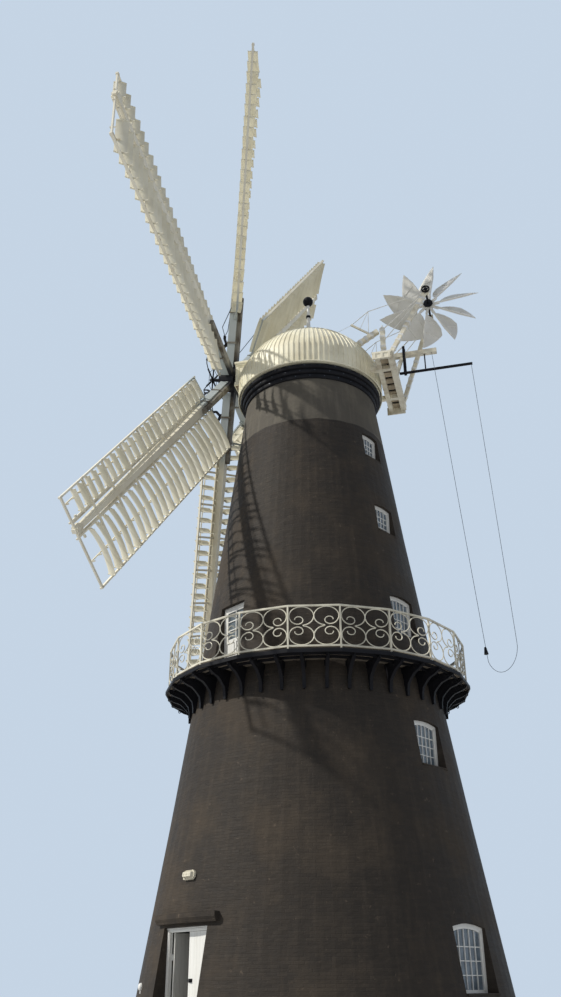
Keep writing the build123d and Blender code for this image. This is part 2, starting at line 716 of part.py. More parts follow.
SHAFT_DOWN = Vector(0, cos(radians(SHAFT_TILT)), -sin(radians(SHAFT_TILT)))
HUB = Vector(0, 0, SHAFT_HEIGHT) - SHAFT_DOWN * HUB_REACH
STAGE_BOTTOM = RING_TOP
with BuildPart() as cap_dome:
    gored_solid(dome_levels(0))
    gored_solid(dome_levels(CAP_BOARD)[:-1], Mode.SUBTRACT)
    with Locations((0, -BOX_FRONT, BOX_BOTTOM)):
        Box(BOX_WIDTH, BOX_FRONT, BOX_TOP - BOX_BOTTOM, align=(Align.CENTER, Align.MIN, Align.MIN),
            mode=Mode.SUBTRACT)
    for side in (-1, 1):
        with Locations((side * BEAM_OFFSET, 0, STAGE_BOTTOM)):
            Box(BEAM_SIZE + 2 * SEAT, STAGE_OUT, BEAM_SIZE + SEAT,
                align=(Align.CENTER, Align.MIN, Align.MIN), mode=Mode.SUBTRACT)
save(cap_dome.part, "cap_dome")

# Finial
DOME_TOP_Z = SKIRT_TOP + DOME_TOP[1]
COLLAR_Z = DOME_TOP_Z + FINIAL_HEIGHT * FINIAL_COLLAR_PLACE
with BuildPart() as finial:
    taper_ring(FINIAL_FOOT, FINIAL_TIP, DOME_TOP_Z, DOME_TOP_Z + FINIAL_HEIGHT, FINIAL_SIDES)
    with BuildSketch(Plane.XY.offset(COLLAR_Z)):
        RegularPolygon(FINIAL_COLLAR, FINIAL_SIDES)
    extrude(amount=FINIAL_COLLAR)
save(finial.part, "finial")

# Turned ball, its rings at equal turns from pole to pole
BALL_FOOT = DOME_TOP_Z + FINIAL_HEIGHT + SEAT
with BuildPart() as finial_ball:
    turns = [radians(turn) for turn in range(-75, 76, 30)]
    rings = [(FINIAL_BALL * cos(turn), BALL_FOOT + FINIAL_BALL * (sin(turn) - sin(turns[0])))
             for turn in turns]
    for (low_radius, low), (high_radius, high) in zip(rings, rings[1:]):
        taper_ring(low_radius, high_radius, low, high, FINIAL_SIDES)
save(finial_ball.part, "finial_ball")

# Front box round the windshaft
with BuildPart() as front_box:
    with Locations((0, -BOX_FRONT, BOX_BOTTOM)):
        Box(BOX_WIDTH, BOX_FRONT - BOX_BACK, BOX_TOP - BOX_BOTTOM,
            align=(Align.CENTER, Align.MIN, Align.MIN))
    with Locations((0, -BOX_FRONT + BOX_BOARD, BOX_BOTTOM + BOX_BOARD)):
        Box(BOX_WIDTH - 2 * BOX_BOARD, BOX_FRONT, BOX_TOP - BOX_BOTTOM - 2 * BOX_BOARD,
            align=(Align.CENTER, Align.MIN, Align.MIN), mode=Mode.SUBTRACT)
    with BuildSketch(Plane(origin=HUB, z_dir=SHAFT_DOWN)):
        Circle(SHAFT_HOLE)
    extrude(amount=SHAFT_TAIL, mode=Mode.SUBTRACT)
save(front_box.part, "front_box")

SHAFT_PLANE = Plane(origin=HUB, x_dir=(-1, 0, 0), z_dir=SHAFT_DOWN)
BEARING_START = SHAFT_TAIL - BEARING_LENGTH
with BuildPart() as neck_bearing:
    bearing_middle = HUB + SHAFT_DOWN * (BEARING_START + BEARING_LENGTH / 2)
    with Locations((0, bearing_middle.Y, BOX_BOTTOM + BOX_BOARD)):
        Box(BOX_WIDTH - 2 * BOX_BOARD, BEARING_BLOCK,
            bearing_middle.Z - BOX_BOTTOM - BOX_BOARD + BEARING_CHEEK,
            align=(Align.CENTER, Align.CENTER, Align.MIN))
    with BuildSketch(SHAFT_PLANE):
        Circle(SHAFT_RADIUS + RUN)
    extrude(amount=SHAFT_TAIL + BEARING_LENGTH, mode=Mode.SUBTRACT)
save(neck_bearing.part, "neck_bearing")

# Windshaft with the six-armed iron cross
with BuildPart() as windshaft:
    with BuildSketch(SHAFT_PLANE.offset(BOSS_BACK)):
        Circle(SHAFT_RADIUS)
    extrude(amount=SHAFT_TAIL - BOSS_BACK)
save(windshaft.part, "windshaft")

ARM_FRONT = WHIP_SETBACK + WHIP_SIZE / 2
SAIL_TURN = 360 / SAIL_COUNT


def sail_place(number):
    return SHAFT_PLANE.location * Location((0, 0, 0), (0, 0, SAIL_PHASE + number * SAIL_TURN))


def taper_block(start, end, start_size, end_size, front, back):
    """A beam along x from start to end, its width changing, between two depths."""
    with BuildSketch(Plane.XY.offset(front)) as side:
        with BuildLine():
            Polyline(
                (start, -start_size / 2),
                (end, -end_size / 2),
                (end, end_size / 2),
                (start, start_size / 2),
                close=True,
            )
        make_face()
    extrude(side.sketch, amount=back - front)


with BuildPart() as cross_arm:
    taper_block(ARM_START, ARM_LENGTH, ARM_WIDTH, ARM_TIP_WIDTH, ARM_FRONT,
                ARM_FRONT + ARM_THICKNESS)
    for place in STRAP_PLACES:
        with Locations((place, 0, WHIP_SETBACK - WHIP_SIZE / 2 - STRAP_THICKNESS)):
            Box(STRAP_WIDTH, WHIP_SIZE + 2 * STRAP_THICKNESS,
                WHIP_SIZE + STRAP_THICKNESS + ARM_THICKNESS / 2,
                align=(Align.CENTER, Align.CENTER, Align.MIN))
        with Locations((place, 0, WHIP_SETBACK)):
            Box(STRAP_WIDTH * 2, WHIP_SIZE, WHIP_SIZE, mode=Mode.SUBTRACT)

with BuildPart() as iron_cross:
    for number in range(SAIL_COUNT):
        with Locations(sail_place(number)):
            add(cross_arm.part)
    with BuildSketch(SHAFT_PLANE.offset(-BOSS_FRONT)):
        RegularPolygon(BOSS_RADIUS, BOSS_SIDES)
    extrude(amount=BOSS_FRONT + BOSS_BACK)
save(iron_cross.part, "iron_cross")

# One sail in its own frame: x outwards along the whip, y to the trailing side, z to the rear
SAIL_TIP = SAIL_REACH - TIP_INSET


def weather(r):
    share = (r - SAIL_HEEL) / (SAIL_REACH - SAIL_HEEL)
    return WEATHER_HEEL + (WEATHER_TIP - WEATHER_HEEL) * share


def sail_point(r, across):
    turn = radians(weather(r))
    return Vector(r, across * cos(turn), WHIP_SETBACK + across * sin(turn))


def sail_chord(r):
    return (sail_point(r, 1) - sail_point(r, 0)).normalized()


def sail_back(r):
    """Straight to the rear of the sail's surface at r."""
    return Vector(1, 0, 0).cross(sail_chord(r))


RAIL_START = SAIL_HEEL - RAIL_PAST
RAIL_END = SAIL_TIP + RAIL_PAST
RAIL_MIDDLE = (RAIL_START + RAIL_END) / 2
TRAILING_RAIL = TRAILING_WIDTH - RAIL_SECTION[0] / 2
LEADING_RAIL = LEADING_WIDTH - RAIL_SECTION[0] / 2


def skew(r, half):
    """How far the corner of a straight rail turns out of the twisting surface."""
    return half * tan(radians(abs(weather(r) - weather(RAIL_MIDDLE))))


STILE_FORWARD = SAIL_BAR[1] / 2 + STILE_SECTION[1] / 2 + SEAT + skew(RAIL_END, STILE_SECTION[0] / 2)


def rail_line(across, forward):
    return [sail_point(r, across) - sail_back(r) * forward for r in (RAIL_START, RAIL_END)]


def sail_rail(across, section, forward=0):
    """A straight rail from the sail's heel to its tip."""
    low, high = rail_line(across, forward)
    along = (high - low).normalized()
    chord = sail_chord(RAIL_MIDDLE)
    with BuildSketch(Plane(origin=low, x_dir=chord - along * chord.dot(along), z_dir=along)) as end_cut:
        Rectangle(section[0], section[1])
    extrude(end_cut.sketch, amount=(high - low).length)


def rail_face(r, across, section, side, forward=0):
    """Just clear of a rail's near (-1) or far (1) side, measured from the whip's line."""
    low, high = rail_line(across, forward)
    centre = low + (high - low) * ((r - RAIL_START) / (RAIL_END - RAIL_START))
    reach = abs((centre - sail_point(r, 0)).dot(sail_chord(r)))
    return reach + side * (section[0] / 2 + skew(r, section[1] / 2) + SEAT)


def whip_size(r):
    share = max(0, (r - WHIP_STRAIGHT) / (SAIL_REACH - WHIP_STRAIGHT))
    return WHIP_SIZE + (WHIP_TIP - WHIP_SIZE) * share


def whip_face(r):
    """Just clear of the whip's side, for a bar that meets it at the weather angle."""
    turn = radians(weather(r))
    half = whip_size(r - SAIL_BAR[0] / 2) / 2
    return (half + SEAT + SAIL_BAR[1] / 2 * sin(turn)) / cos(turn)


def across_plane(r, across):
    return Plane(origin=sail_point(r, across), x_dir=sail_chord(r), z_dir=(1, 0, 0))


BAY_LENGTH = (SAIL_TIP - SAIL_HEEL) / SAIL_BAYS
BAR_PLACES = [SAIL_HEEL + bay * BAY_LENGTH for bay in range(SAIL_BAYS + 1)]
with BuildPart() as sail_blank:
    taper_block(WHIP_ROOT, WHIP_STRAIGHT, WHIP_SIZE, WHIP_SIZE,
                WHIP_SETBACK - WHIP_SIZE / 2, WHIP_SETBACK + WHIP_SIZE / 2)
    whip_plane = Plane(origin=(WHIP_STRAIGHT, 0, WHIP_SETBACK), x_dir=(0, 1, 0), z_dir=(1, 0, 0))
    with BuildSketch(whip_plane):
        Rectangle(WHIP_SIZE, WHIP_SIZE)
    extrude(amount=SAIL_REACH - WHIP_STRAIGHT,
            taper=degrees(atan((WHIP_SIZE - WHIP_TIP) / 2 / (SAIL_REACH - WHIP_STRAIGHT))))
    for place in BAR_PLACES:
        inner = whip_face(place)
        for side, rail in ((1, TRAILING_RAIL), (-1, -LEADING_RAIL)):
            outer = rail_face(place, rail, RAIL_SECTION, -1)
            with Locations(across_plane(place, side * (inner + outer) / 2)):
                Box(outer - inner, SAIL_BAR[1], SAIL_BAR[0])
    for rail in (TRAILING_RAIL, -LEADING_RAIL):
        sail_rail(rail, RAIL_SECTION)
    for stile in (STILE_OFFSET, -STILE_OFFSET):
        sail_rail(stile, STILE_SECTION, STILE_FORWARD)

SHUTTER_PITCH = (BAY_LENGTH - SAIL_BAR[0]) / SHUTTERS_PER_BAY


def shutter_bank(side, rail):
    """One side's open shutters, each a board between the stile and the outer rail."""
    for bay in range(SAIL_BAYS):
        for shutter in range(SHUTTERS_PER_BAY):
            r = BAR_PLACES[bay] + SAIL_BAR[0] / 2 + (shutter + 0.5) * SHUTTER_PITCH
            inner = rail_face(r, side * STILE_OFFSET, STILE_SECTION, 1, STILE_FORWARD)
            outer = rail_face(r, rail, RAIL_SECTION, -1) - SHUTTER_GAP
            turn = radians(SHUTTER_OPEN)
            normal = Vector(1, 0, 0) * sin(turn) + sail_back(r) * cos(turn)
            middle = sail_point(r, side * (inner + outer) / 2)
            with Locations(Plane(origin=middle, x_dir=sail_chord(r), z_dir=normal)):
                Box(outer - inner, SHUTTER_DEPTH, SHUTTER_THICKNESS)


with BuildPart() as shutter_blank:
    shutter_bank(1, TRAILING_RAIL)
    shutter_bank(-1, -LEADING_RAIL)

for number in range(SAIL_COUNT):
    with BuildPart() as sail_frame:
        with Locations(sail_place(number)):
            add(sail_blank.part)
    save(sail_frame.part, f"sail_{number + 1}_frame")
    with BuildPart() as sail_shutters:
        with Locations(sail_place(number)):
            add(shutter_blank.part)
    save(sail_shutters.part, f"sail_{number + 1}_shutters")

# Striking spider in front of the hub
with BuildPart() as striking_spider:
    with BuildSketch(SHAFT_PLANE.offset(-BOSS_FRONT)):
        Circle(SPIDER_STEM)
    extrude(amount=-SPIDER_REACH)
    for number in range(SAIL_COUNT):
        with Locations(sail_place(number)):
            with Locations((SPIDER_ARM / 2, 0, -BOSS_FRONT - SPIDER_REACH + SPIDER_INSET)):
                Box(SPIDER_ARM, SPIDER_WIDTH, SPIDER_ROD)
save(striking_spider.part, "striking_spider")

# Fan stage
BEAM_TOP = STAGE_BOTTOM + BEAM_SIZE
with BuildPart() as stage_frame:
    for side in (-1, 1):
        with Locations((side * BEAM_OFFSET, BEAM_TAIL, STAGE_BOTTOM)):
            Box(BEAM_SIZE, STAGE_OUT - BEAM_TAIL, BEAM_SIZE, align=(Align.CENTER, Align.MIN, Align.MIN))
    for place in (STAGE_IN + BEAM_SIZE, STAGE_OUT - BEAM_SIZE / 2):
        with Locations((0, place, STAGE_BOTTOM)):
            Box(2 * STAGE_HALF, BEAM_SIZE, BEAM_SIZE, align=(Align.CENTER, Align.CENTER, Align.MIN))
save(stage_frame.part, "stage_frame")

PLANK_STEP = (2 * STAGE_HALF - PLANK_WIDTH) / (PLANK_COUNT - 1)
PLANK_TOP = BEAM_TOP + PLANK_THICKNESS
with BuildPart() as stage_planks:
    for plank in range(PLANK_COUNT):
        with Locations((-STAGE_HALF + PLANK_WIDTH / 2 + plank * PLANK_STEP, STAGE_OUT, BEAM_TOP)):
            Box(PLANK_WIDTH, STAGE_OUT - STAGE_IN - PLANK_INSET, PLANK_THICKNESS,
                align=(Align.CENTER, Align.MAX, Align.MIN))
save(stage_planks.part, "stage_planks")


def beam_between(low, high, size, sideways=(1, 0, 0)):
    along = (high - low).normalized()
    flat = Vector(*sideways)
    with BuildSketch(Plane(origin=low, x_dir=flat - along * flat.dot(along), z_dir=along)) as end_cut:
        Rectangle(size, size)
    extrude(end_cut.sketch, amount=(high - low).length)


# Leaning fan posts with their bearings
with BuildPart() as fan_posts:
    for side in (-1, 1):
        foot = Vector(side * FAN_POST_FOOT, STAGE_OUT - FAN_POST / 2, PLANK_TOP - FAN_POST / 2)
        head = Vector(side * BEARING_HALF, FAN_HUB_Y - BEARING_SIZE / 4, FAN_HUB_Z - BEARING_SIZE / 4)
        beam_between(foot, head, FAN_POST)
        with Locations((side * BEARING_HALF, FAN_HUB_Y, FAN_HUB_Z)):
            Box(BEARING_WIDTH, BEARING_SIZE, BEARING_SIZE)
            Cylinder(AXLE_RADIUS + RUN, 3 * BEARING_WIDTH, rotation=(0, 90, 0), mode=Mode.SUBTRACT)
    with Locations((0, 0, PLANK_TOP)):
        Box(3 * STAGE_HALF, 3 * STAGE_OUT, 4 * FAN_POST, align=(Align.CENTER, Align.CENTER, Align.MAX),
            mode=Mode.SUBTRACT)
save(fan_posts.part, "fan_posts")

# Uprights on the stage
with BuildPart() as stage_uprights:
    for side in (-1, 1):
        with Locations((side * BEAM_OFFSET, UPRIGHT_Y, PLANK_TOP)):
            Box(UPRIGHT_SIZE, UPRIGHT_SIZE, UPRIGHT_HEIGHT, align=(Align.CENTER, Align.CENTER, Align.MIN))
save(stage_uprights.part, "stage_uprights")

# Boards round the open sides of the stage
with BuildPart() as stage_fascia:
    for side in (-1, 1):
        end_board = side * (STAGE_HALF + FASCIA_BOARD / 2 + SEAT)
        with Locations((end_board, STAGE_IN, STAGE_BOTTOM - FASCIA_DROP)):
            Box(FASCIA_BOARD, STAGE_OUT - STAGE_IN, PLANK_TOP - STAGE_BOTTOM + FASCIA_DROP,
                align=(Align.CENTER, Align.MIN, Align.MIN))
    with Locations((0, STAGE_OUT + SEAT, STAGE_BOTTOM)):
        Box(2 * STAGE_HALF, FASCIA_BOARD, PLANK_TOP - STAGE_BOTTOM,
            align=(Align.CENTER, Align.MIN, Align.MIN))
save(stage_fascia.part, "stage_fascia")

# Braces from the uprights down to the dome, each with a short handrail across it
with BuildPart() as stage_braces:
    for side in (-1, 1):
        top = Vector(side * BEAM_OFFSET, UPRIGHT_Y - UPRIGHT_SIZE / 2 - SEAT - BRACE_SIZE / 2, BRACE_TOP)
        beam_between(Vector(side * BEAM_OFFSET, *BRACE_FOOT), top, BRACE_SIZE)
        beam_between(Vector(side * BEAM_OFFSET, *HANDRAIL_IN), Vector(side * BEAM_OFFSET, *HANDRAIL_OUT),
                     HANDRAIL_SIZE)
    with Locations((0, UPRIGHT_Y - UPRIGHT_SIZE / 2 - SEAT, 0)):
        Box(3 * STAGE_HALF, UPRIGHT_SIZE * 4, 2 * SPAR_Z + STAGE_HALF,
            align=(Align.CENTER, Align.MIN, Align.CENTER), mode=Mode.SUBTRACT)
    gored_solid(dome_levels(-SEAT), Mode.SUBTRACT)
save(stage_braces.part, "stage_braces")

# Rear spar on its leaning post
with BuildPart() as rear_spar:
    with Locations((0, SPAR_START, SPAR_Z)):
        Box(SPAR_SIZE, SPAR_END - SPAR_START, SPAR_SIZE, align=(Align.CENTER, Align.MIN, Align.CENTER))
    beam_between(Vector(0, SPAR_POST_FOOT, PLANK_TOP - SPAR_POST_SIZE / 2),
                 Vector(0, SPAR_POST_HEAD, SPAR_Z), SPAR_POST_SIZE)
    with Locations((0, 0, PLANK_TOP)):
        Box(STAGE_HALF, 3 * STAGE_OUT, SPAR_SIZE, align=(Align.CENTER, Align.CENTER, Align.MAX),
            mode=Mode.SUBTRACT)
save(rear_spar.part, "rear_spar")

# Striking pole with its hanger and arm
SPAR_BOTTOM = SPAR_Z - SPAR_SIZE / 2
with BuildPart() as striking_pole:
    with BuildSketch(Plane(origin=(0, POLE_START, POLE_Z), x_dir=(1, 0, 0), z_dir=(0, 1, 0))):
        RegularPolygon(POLE_RADIUS, POLE_SIDES)
    extrude(amount=POLE_END - POLE_START)
    with BuildSketch(Plane.XY.offset(POLE_Z)):
        with Locations((0, HANGER_Y)):
            RegularPolygon(HANGER_RADIUS, HANGER_SIDES)
    extrude(amount=SPAR_BOTTOM - POLE_Z)
    with Locations((0, ARM_Y, POLE_Z)):
        Box(SPAR_SIZE + 2 * ARM_BAR, ARM_SIZE / 2, ARM_SIZE / 2)
    for side in (-1, 1):
        with Locations((side * (SPAR_SIZE / 2 + SEAT + ARM_BAR / 2), ARM_Y, POLE_Z - ARM_SIZE / 2)):
            Box(ARM_BAR, ARM_SIZE, ARM_TOP - POLE_Z, align=(Align.CENTER, Align.CENTER, Align.MIN))
save(striking_pole.part, "striking_pole")

# Fan: axle, hub, gear and boards
with BuildPart() as fan_axle:
    with BuildSketch(Plane.YZ):
        with Locations((FAN_HUB_Y, FAN_HUB_Z)):
            Circle(AXLE_RADIUS)
    extrude(amount=AXLE_HALF, both=True)
    with BuildSketch(Plane.YZ):
        with Locations((FAN_HUB_Y, FAN_HUB_Z)):
            RegularPolygon(FAN_HUB_RADIUS, FAN_HUB_SIDES)
    extrude(amount=FAN_HUB_WIDTH / 2, both=True)
    with BuildSketch(Plane.YZ.offset(AXLE_HALF - FAN_GEAR_WIDTH)):
        with Locations((FAN_HUB_Y, FAN_HUB_Z)):
            RegularPolygon(FAN_GEAR_RADIUS, FAN_GEAR_SIDES)
    extrude(amount=FAN_GEAR_WIDTH)
save(fan_axle.part, "fan_axle")

with BuildPart() as fan_blades:
    for blade in range(FAN_BLADES):
        angle = radians(FAN_PHASE + blade * 360 / FAN_BLADES)
        pitch = radians(FAN_PITCH)
        out = Vector(0, cos(angle), sin(angle))
        round_way = Vector(0, -sin(angle), cos(angle))
        chord = round_way * cos(pitch) - Vector(1, 0, 0) * sin(pitch)
        blade_plane = Plane(origin=(0, FAN_HUB_Y, FAN_HUB_Z), x_dir=out, z_dir=out.cross(chord))
        with BuildSketch(blade_plane):
            with BuildLine():
                Polyline(
                    (BLADE_ROOT, -BLADE_ARM / 2),
                    (FAN_RADIUS, -BLADE_ARM / 2),
                    (FAN_RADIUS, BLADE_ARM / 2),
                    BLADE_CORNER,
                    (BLADE_ROOT, BLADE_HEEL),
                    close=True,
                )
            make_face()
        extrude(amount=BLADE_THICKNESS / 2, both=True)
        with BuildSketch(blade_plane):
            with Locations(((FAN_HUB_RADIUS + BLADE_ROOT) / 2, 0)):
                Rectangle(BLADE_ROOT - FAN_HUB_RADIUS + ARM_LAP, BLADE_ARM)
        extrude(amount=BLADE_ARM / 2, both=True)
    with BuildSketch(Plane.YZ):
        with Locations((FAN_HUB_Y, FAN_HUB_Z)):
            RegularPolygon(FAN_HUB_RADIUS, FAN_HUB_SIDES)
    extrude(amount=FAN_HUB_WIDTH, both=True, mode=Mode.SUBTRACT)
save(fan_blades.part, "fan_blades")

# Chain and weight
def bend_radii(points):
    """The largest arc that the runs beside each point allow."""
    radii = []
    for before, at, after in zip(points, points[1:], points[2:]):
        into = Vector(*at) - Vector(*before)
        away = Vector(*after) - Vector(*at)
        turn = radians(into.get_angle(away))
        radii.append(BEND_SHARE * min(into.length, away.length) / tan(turn / 2))
    return radii


chain_radii = bend_radii(CHAIN_POINTS)
print("chain bend radii", [round(radius) for radius in chain_radii])
with BuildPart() as chain:
    with BuildLine() as chain_path:
        FilletPolyline(*CHAIN_POINTS, radius=chain_radii)
    with BuildSketch(Plane(origin=chain_path.line @ 0, z_dir=chain_path.line % 0)) as chain_section:
        RegularPolygon(CHAIN_RADIUS, CHAIN_SIDES)
    sweep()
chain_length = sum(edge.length for edge in chain_path.line.edges())
print("chain length", round(chain_length), "tube volume over section times length",
      round(chain.part.volume / (chain_section.sketch.area * chain_length), 5))
save(chain.part, "chain")

WEIGHT_WAY = (Vector(*CHAIN_POINTS[-1]) - Vector(*CHAIN_POINTS[-2])).normalized()
WEIGHT_FOOT = Vector(*CHAIN_POINTS[-2]) + WEIGHT_WAY * WEIGHT_LIFT
WEIGHT_TAPER = degrees(atan((WEIGHT_RADIUS - WEIGHT_NECK) / WEIGHT_HEIGHT))
with BuildPart() as chain_weight:
    with BuildSketch(Plane(origin=WEIGHT_FOOT, z_dir=WEIGHT_WAY)):
        RegularPolygon(WEIGHT_RADIUS, WEIGHT_SIDES, major_radius=False)
    extrude(amount=WEIGHT_HEIGHT, taper=WEIGHT_TAPER)
    with BuildSketch(Plane(origin=WEIGHT_FOOT, z_dir=WEIGHT_WAY)):
        RegularPolygon(CHAIN_RADIUS + SEAT, WEIGHT_SIDES, major_radius=False)
    extrude(amount=WEIGHT_HEIGHT, mode=Mode.SUBTRACT)
save(chain_weight.part, "chain_weight")
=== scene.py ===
# %% [markdown]
# # Dressing a six-sailed tower windmill
# The solid model already holds every load-bearing shape at its real size. This lesson adds
# what the eye looks for: tarred brick, paint, glazing bars, iron scrolls, curved shutters.
# Everything is in metres in the solid model's own frame, so nothing has to be fitted by eye.

# %% Load the solid model
import math
from math import cos, pi, radians, sin

import bmesh
import bpy
from mathutils import Matrix, Vector


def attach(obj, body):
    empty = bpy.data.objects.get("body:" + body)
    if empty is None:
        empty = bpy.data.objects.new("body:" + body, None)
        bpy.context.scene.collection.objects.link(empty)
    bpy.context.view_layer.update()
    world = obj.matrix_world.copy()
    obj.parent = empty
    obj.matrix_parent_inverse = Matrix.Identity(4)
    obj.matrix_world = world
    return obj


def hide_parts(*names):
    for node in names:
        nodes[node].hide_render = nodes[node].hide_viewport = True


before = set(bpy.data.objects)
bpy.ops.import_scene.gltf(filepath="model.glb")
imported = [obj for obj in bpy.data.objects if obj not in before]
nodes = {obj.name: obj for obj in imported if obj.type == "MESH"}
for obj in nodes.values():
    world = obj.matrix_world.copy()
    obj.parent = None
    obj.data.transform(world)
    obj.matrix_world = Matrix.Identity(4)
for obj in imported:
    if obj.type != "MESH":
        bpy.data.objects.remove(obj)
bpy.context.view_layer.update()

# %% [markdown]
# ## Camera
# The mill was seen from eye height, about 27 m away, with the view tipped up by 27 degrees to
# take in the sails. The camera repeats that. It could be placed by eye, but its place, turn and
# lens were worked out from points on the mill, so that the solid and the view agree.

# %% Camera
EYE = Vector((26.957, 5.632, 1.6))
HEADING = Vector((-0.9704, -0.2416, 0))
EYE_PITCH = 0.476
EYE_ROLL = 0.006
LENS_MM = 34.21
SENSOR_MM = 36

forward = HEADING * cos(EYE_PITCH) + Vector((0, 0, sin(EYE_PITCH)))
level = Vector((-0.2416, 0.9704, 0))
upward = Vector((0, 0, cos(EYE_PITCH))) - HEADING * sin(EYE_PITCH)
rolled_right = level * cos(EYE_ROLL) - upward * sin(EYE_ROLL)
rolled_up = level * sin(EYE_ROLL) + upward * cos(EYE_ROLL)
camera_data = bpy.data.cameras.new("eye")
camera_data.sensor_fit = "VERTICAL"
camera_data.sensor_height = SENSOR_MM
camera_data.lens = LENS_MM
camera_data.clip_end = 500
camera = bpy.data.objects.new("eye", camera_data)
facing = Matrix((rolled_right, rolled_up, -forward)).transposed().to_4x4()
camera.matrix_world = Matrix.Translation(EYE) @ facing
bpy.context.scene.collection.objects.link(camera)
bpy.context.scene.camera = camera
bpy.context.scene.view_settings.view_transform = "Standard"
print("camera", round((EYE - Vector((0, 0, 11))).length, 2), "m from the middle of the tower")

# %% [markdown]
# ## Shader sums as plain arithmetic
# A finish is worked out by nodes. Wrapping a socket in a small class that knows +, -, * and /
# lets each finish be read as a formula, and every other node comes from one method.

# %% Signal
class Signal:
    """One output socket; sums on it add Math nodes."""

    def __init__(self, tree, socket):
        self.tree = tree
        self.socket = socket

    def node(self, kind, settings=None, sockets=None, result=0):
        """Any node: its settings first, then values or links of its sockets."""
        made = self.tree.nodes.new(kind)
        for name, value in (settings or {}).items():
            setattr(made, name, value)
        for name, value in (sockets or {}).items():
            if isinstance(value, Signal):
                self.tree.links.new(value.socket, made.inputs[name])
            else:
                made.inputs[name].default_value = value
        return Signal(self.tree, made.outputs[result])

    def sum(self, operation, *values):
        return self.node("ShaderNodeMath", {"operation": operation}, dict(enumerate(values)))

    def __add__(self, other):
        return self.sum("ADD", self, other)

    def __radd__(self, other):
        return self.sum("ADD", other, self)

    def __sub__(self, other):
        return self.sum("SUBTRACT", self, other)

    def __rsub__(self, other):
        return self.sum("SUBTRACT", other, self)

    def __mul__(self, other):
        return self.sum("MULTIPLY", self, other)

    def __rmul__(self, other):
        return self.sum("MULTIPLY", other, self)

    def __truediv__(self, other):
        return self.sum("DIVIDE", self, other)

    def __rtruediv__(self, other):
        return self.sum("DIVIDE", other, self)

    def __abs__(self):
        return self.sum("ABSOLUTE", self)

    def floor(self):
        return self.sum("FLOOR", self)

    def fraction(self):
        return self.sum("FRACT", self)

    def ramp(self, low, high):
        """0 below low, 1 above high, smooth between; low may be the larger."""
        return self.node("ShaderNodeMapRange", {"interpolation_type": "SMOOTHSTEP"},
                         {"Value": self, "From Min": low, "From Max": high})

    def parts(self):
        """The three numbers of a place."""
        split = self.node("ShaderNodeSeparateXYZ", None, {0: self}).socket.node
        return [Signal(self.tree, output) for output in split.outputs]

    def scaled(self, x, y, z):
        return self.node("ShaderNodeVectorMath", {"operation": "MULTIPLY"}, {0: self, 1: (x, y, z)})

    def chance(self, *axes):
        """One random number for each whole number, or pair of them."""
        if len(axes) == 1:
            return self.node("ShaderNodeTexWhiteNoise", {"noise_dimensions": "1D"}, {"W": axes[0]})
        pair = self.node("ShaderNodeCombineXYZ", None, dict(enumerate(axes)))
        return self.node("ShaderNodeTexWhiteNoise", {"noise_dimensions": "2D"}, {"Vector": pair})

    def noise(self, scale, detail=3, rough=0.5):
        return self.node("ShaderNodeTexNoise", None,
                         {"Vector": self, "Scale": scale, "Detail": detail, "Roughness": rough})

    def tint(self, low, high):
        """This mask mixes two colours; either may itself be worked out by nodes."""
        return self.node("ShaderNodeMix", {"data_type": "RGBA"}, {0: self, 6: colour(low), 7: colour(high)}, 2)


def colour(value):
    return value if isinstance(value, Signal) else (*value, 1)


print("signal sums ready")

# %% [markdown]
# A finish is the paint, tar or glass that a surface shows. Each could be wired by hand in the
# shader editor, but they all start alike, so a class makes the material, keeps its Principled
# shader, and gives the pattern the mill's own metres to work in.

# %% Finish
class Finish:
    """A material with its Principled shader and the piece's own coordinates."""

    def __init__(self, name, roughness, **fixed):
        self.material = bpy.data.materials.new(name)
        self.material.use_nodes = True
        tree = self.material.node_tree
        self.shader = tree.nodes["Principled BSDF"]
        self.shader.inputs["Roughness"].default_value = roughness
        for name, value in fixed.items():
            self.shader.inputs[name.replace("_", " ").title().replace("Ior", "IOR")].default_value = value
        self.tree = tree
        self.place = Signal(tree, None).node("ShaderNodeTexCoord", result="Object")

    def feed(self, socket, signal):
        self.tree.links.new(signal.socket, self.shader.inputs[socket])

    def bump(self, height, depth):
        """Height between 0 and 1, standing depth metres high."""
        self.feed("Normal", height.node("ShaderNodeBump", None, {"Strength": 1, "Distance": depth, "Height": height}))

    def join(self, x, y, z):
        return self.place.node("ShaderNodeCombineXYZ", None, {0: x, 1: y, 2: z})


print("finishes ready")

# %% [markdown]
# ## Light, world and floor
# Sunlight gives the mill its form: a lit left side, a dark right side, and shadows of the sails.
# An area lamp would fall off over 30 m, so it is a sun, standing where the shadows say that the
# real one stood. An even sky fills the shade. The background colour is shown only to the camera
# and to gloss and glass, so it adds no light, and the pale floor keeps the mill's shadow.

# %% Light, world and floor
SUN_AZIMUTH = -62
SUN_HEIGHT = 41
SUN_POWER = 3.3
SUN_WIDTH = 1.5
SUN_COLOUR = (1, 0.96, 0.88)
to_sun = Vector((cos(radians(SUN_AZIMUTH)) * cos(radians(SUN_HEIGHT)),
                 sin(radians(SUN_AZIMUTH)) * cos(radians(SUN_HEIGHT)), sin(radians(SUN_HEIGHT))))
key_data = bpy.data.lights.new("key", "SUN")
key_data.energy = SUN_POWER
key_data.angle = radians(SUN_WIDTH)
key_data.color = SUN_COLOUR
key = bpy.data.objects.new("key", key_data)
key.matrix_world = to_sun.to_track_quat("Z", "Y").to_matrix().to_4x4()
bpy.context.scene.collection.objects.link(key)

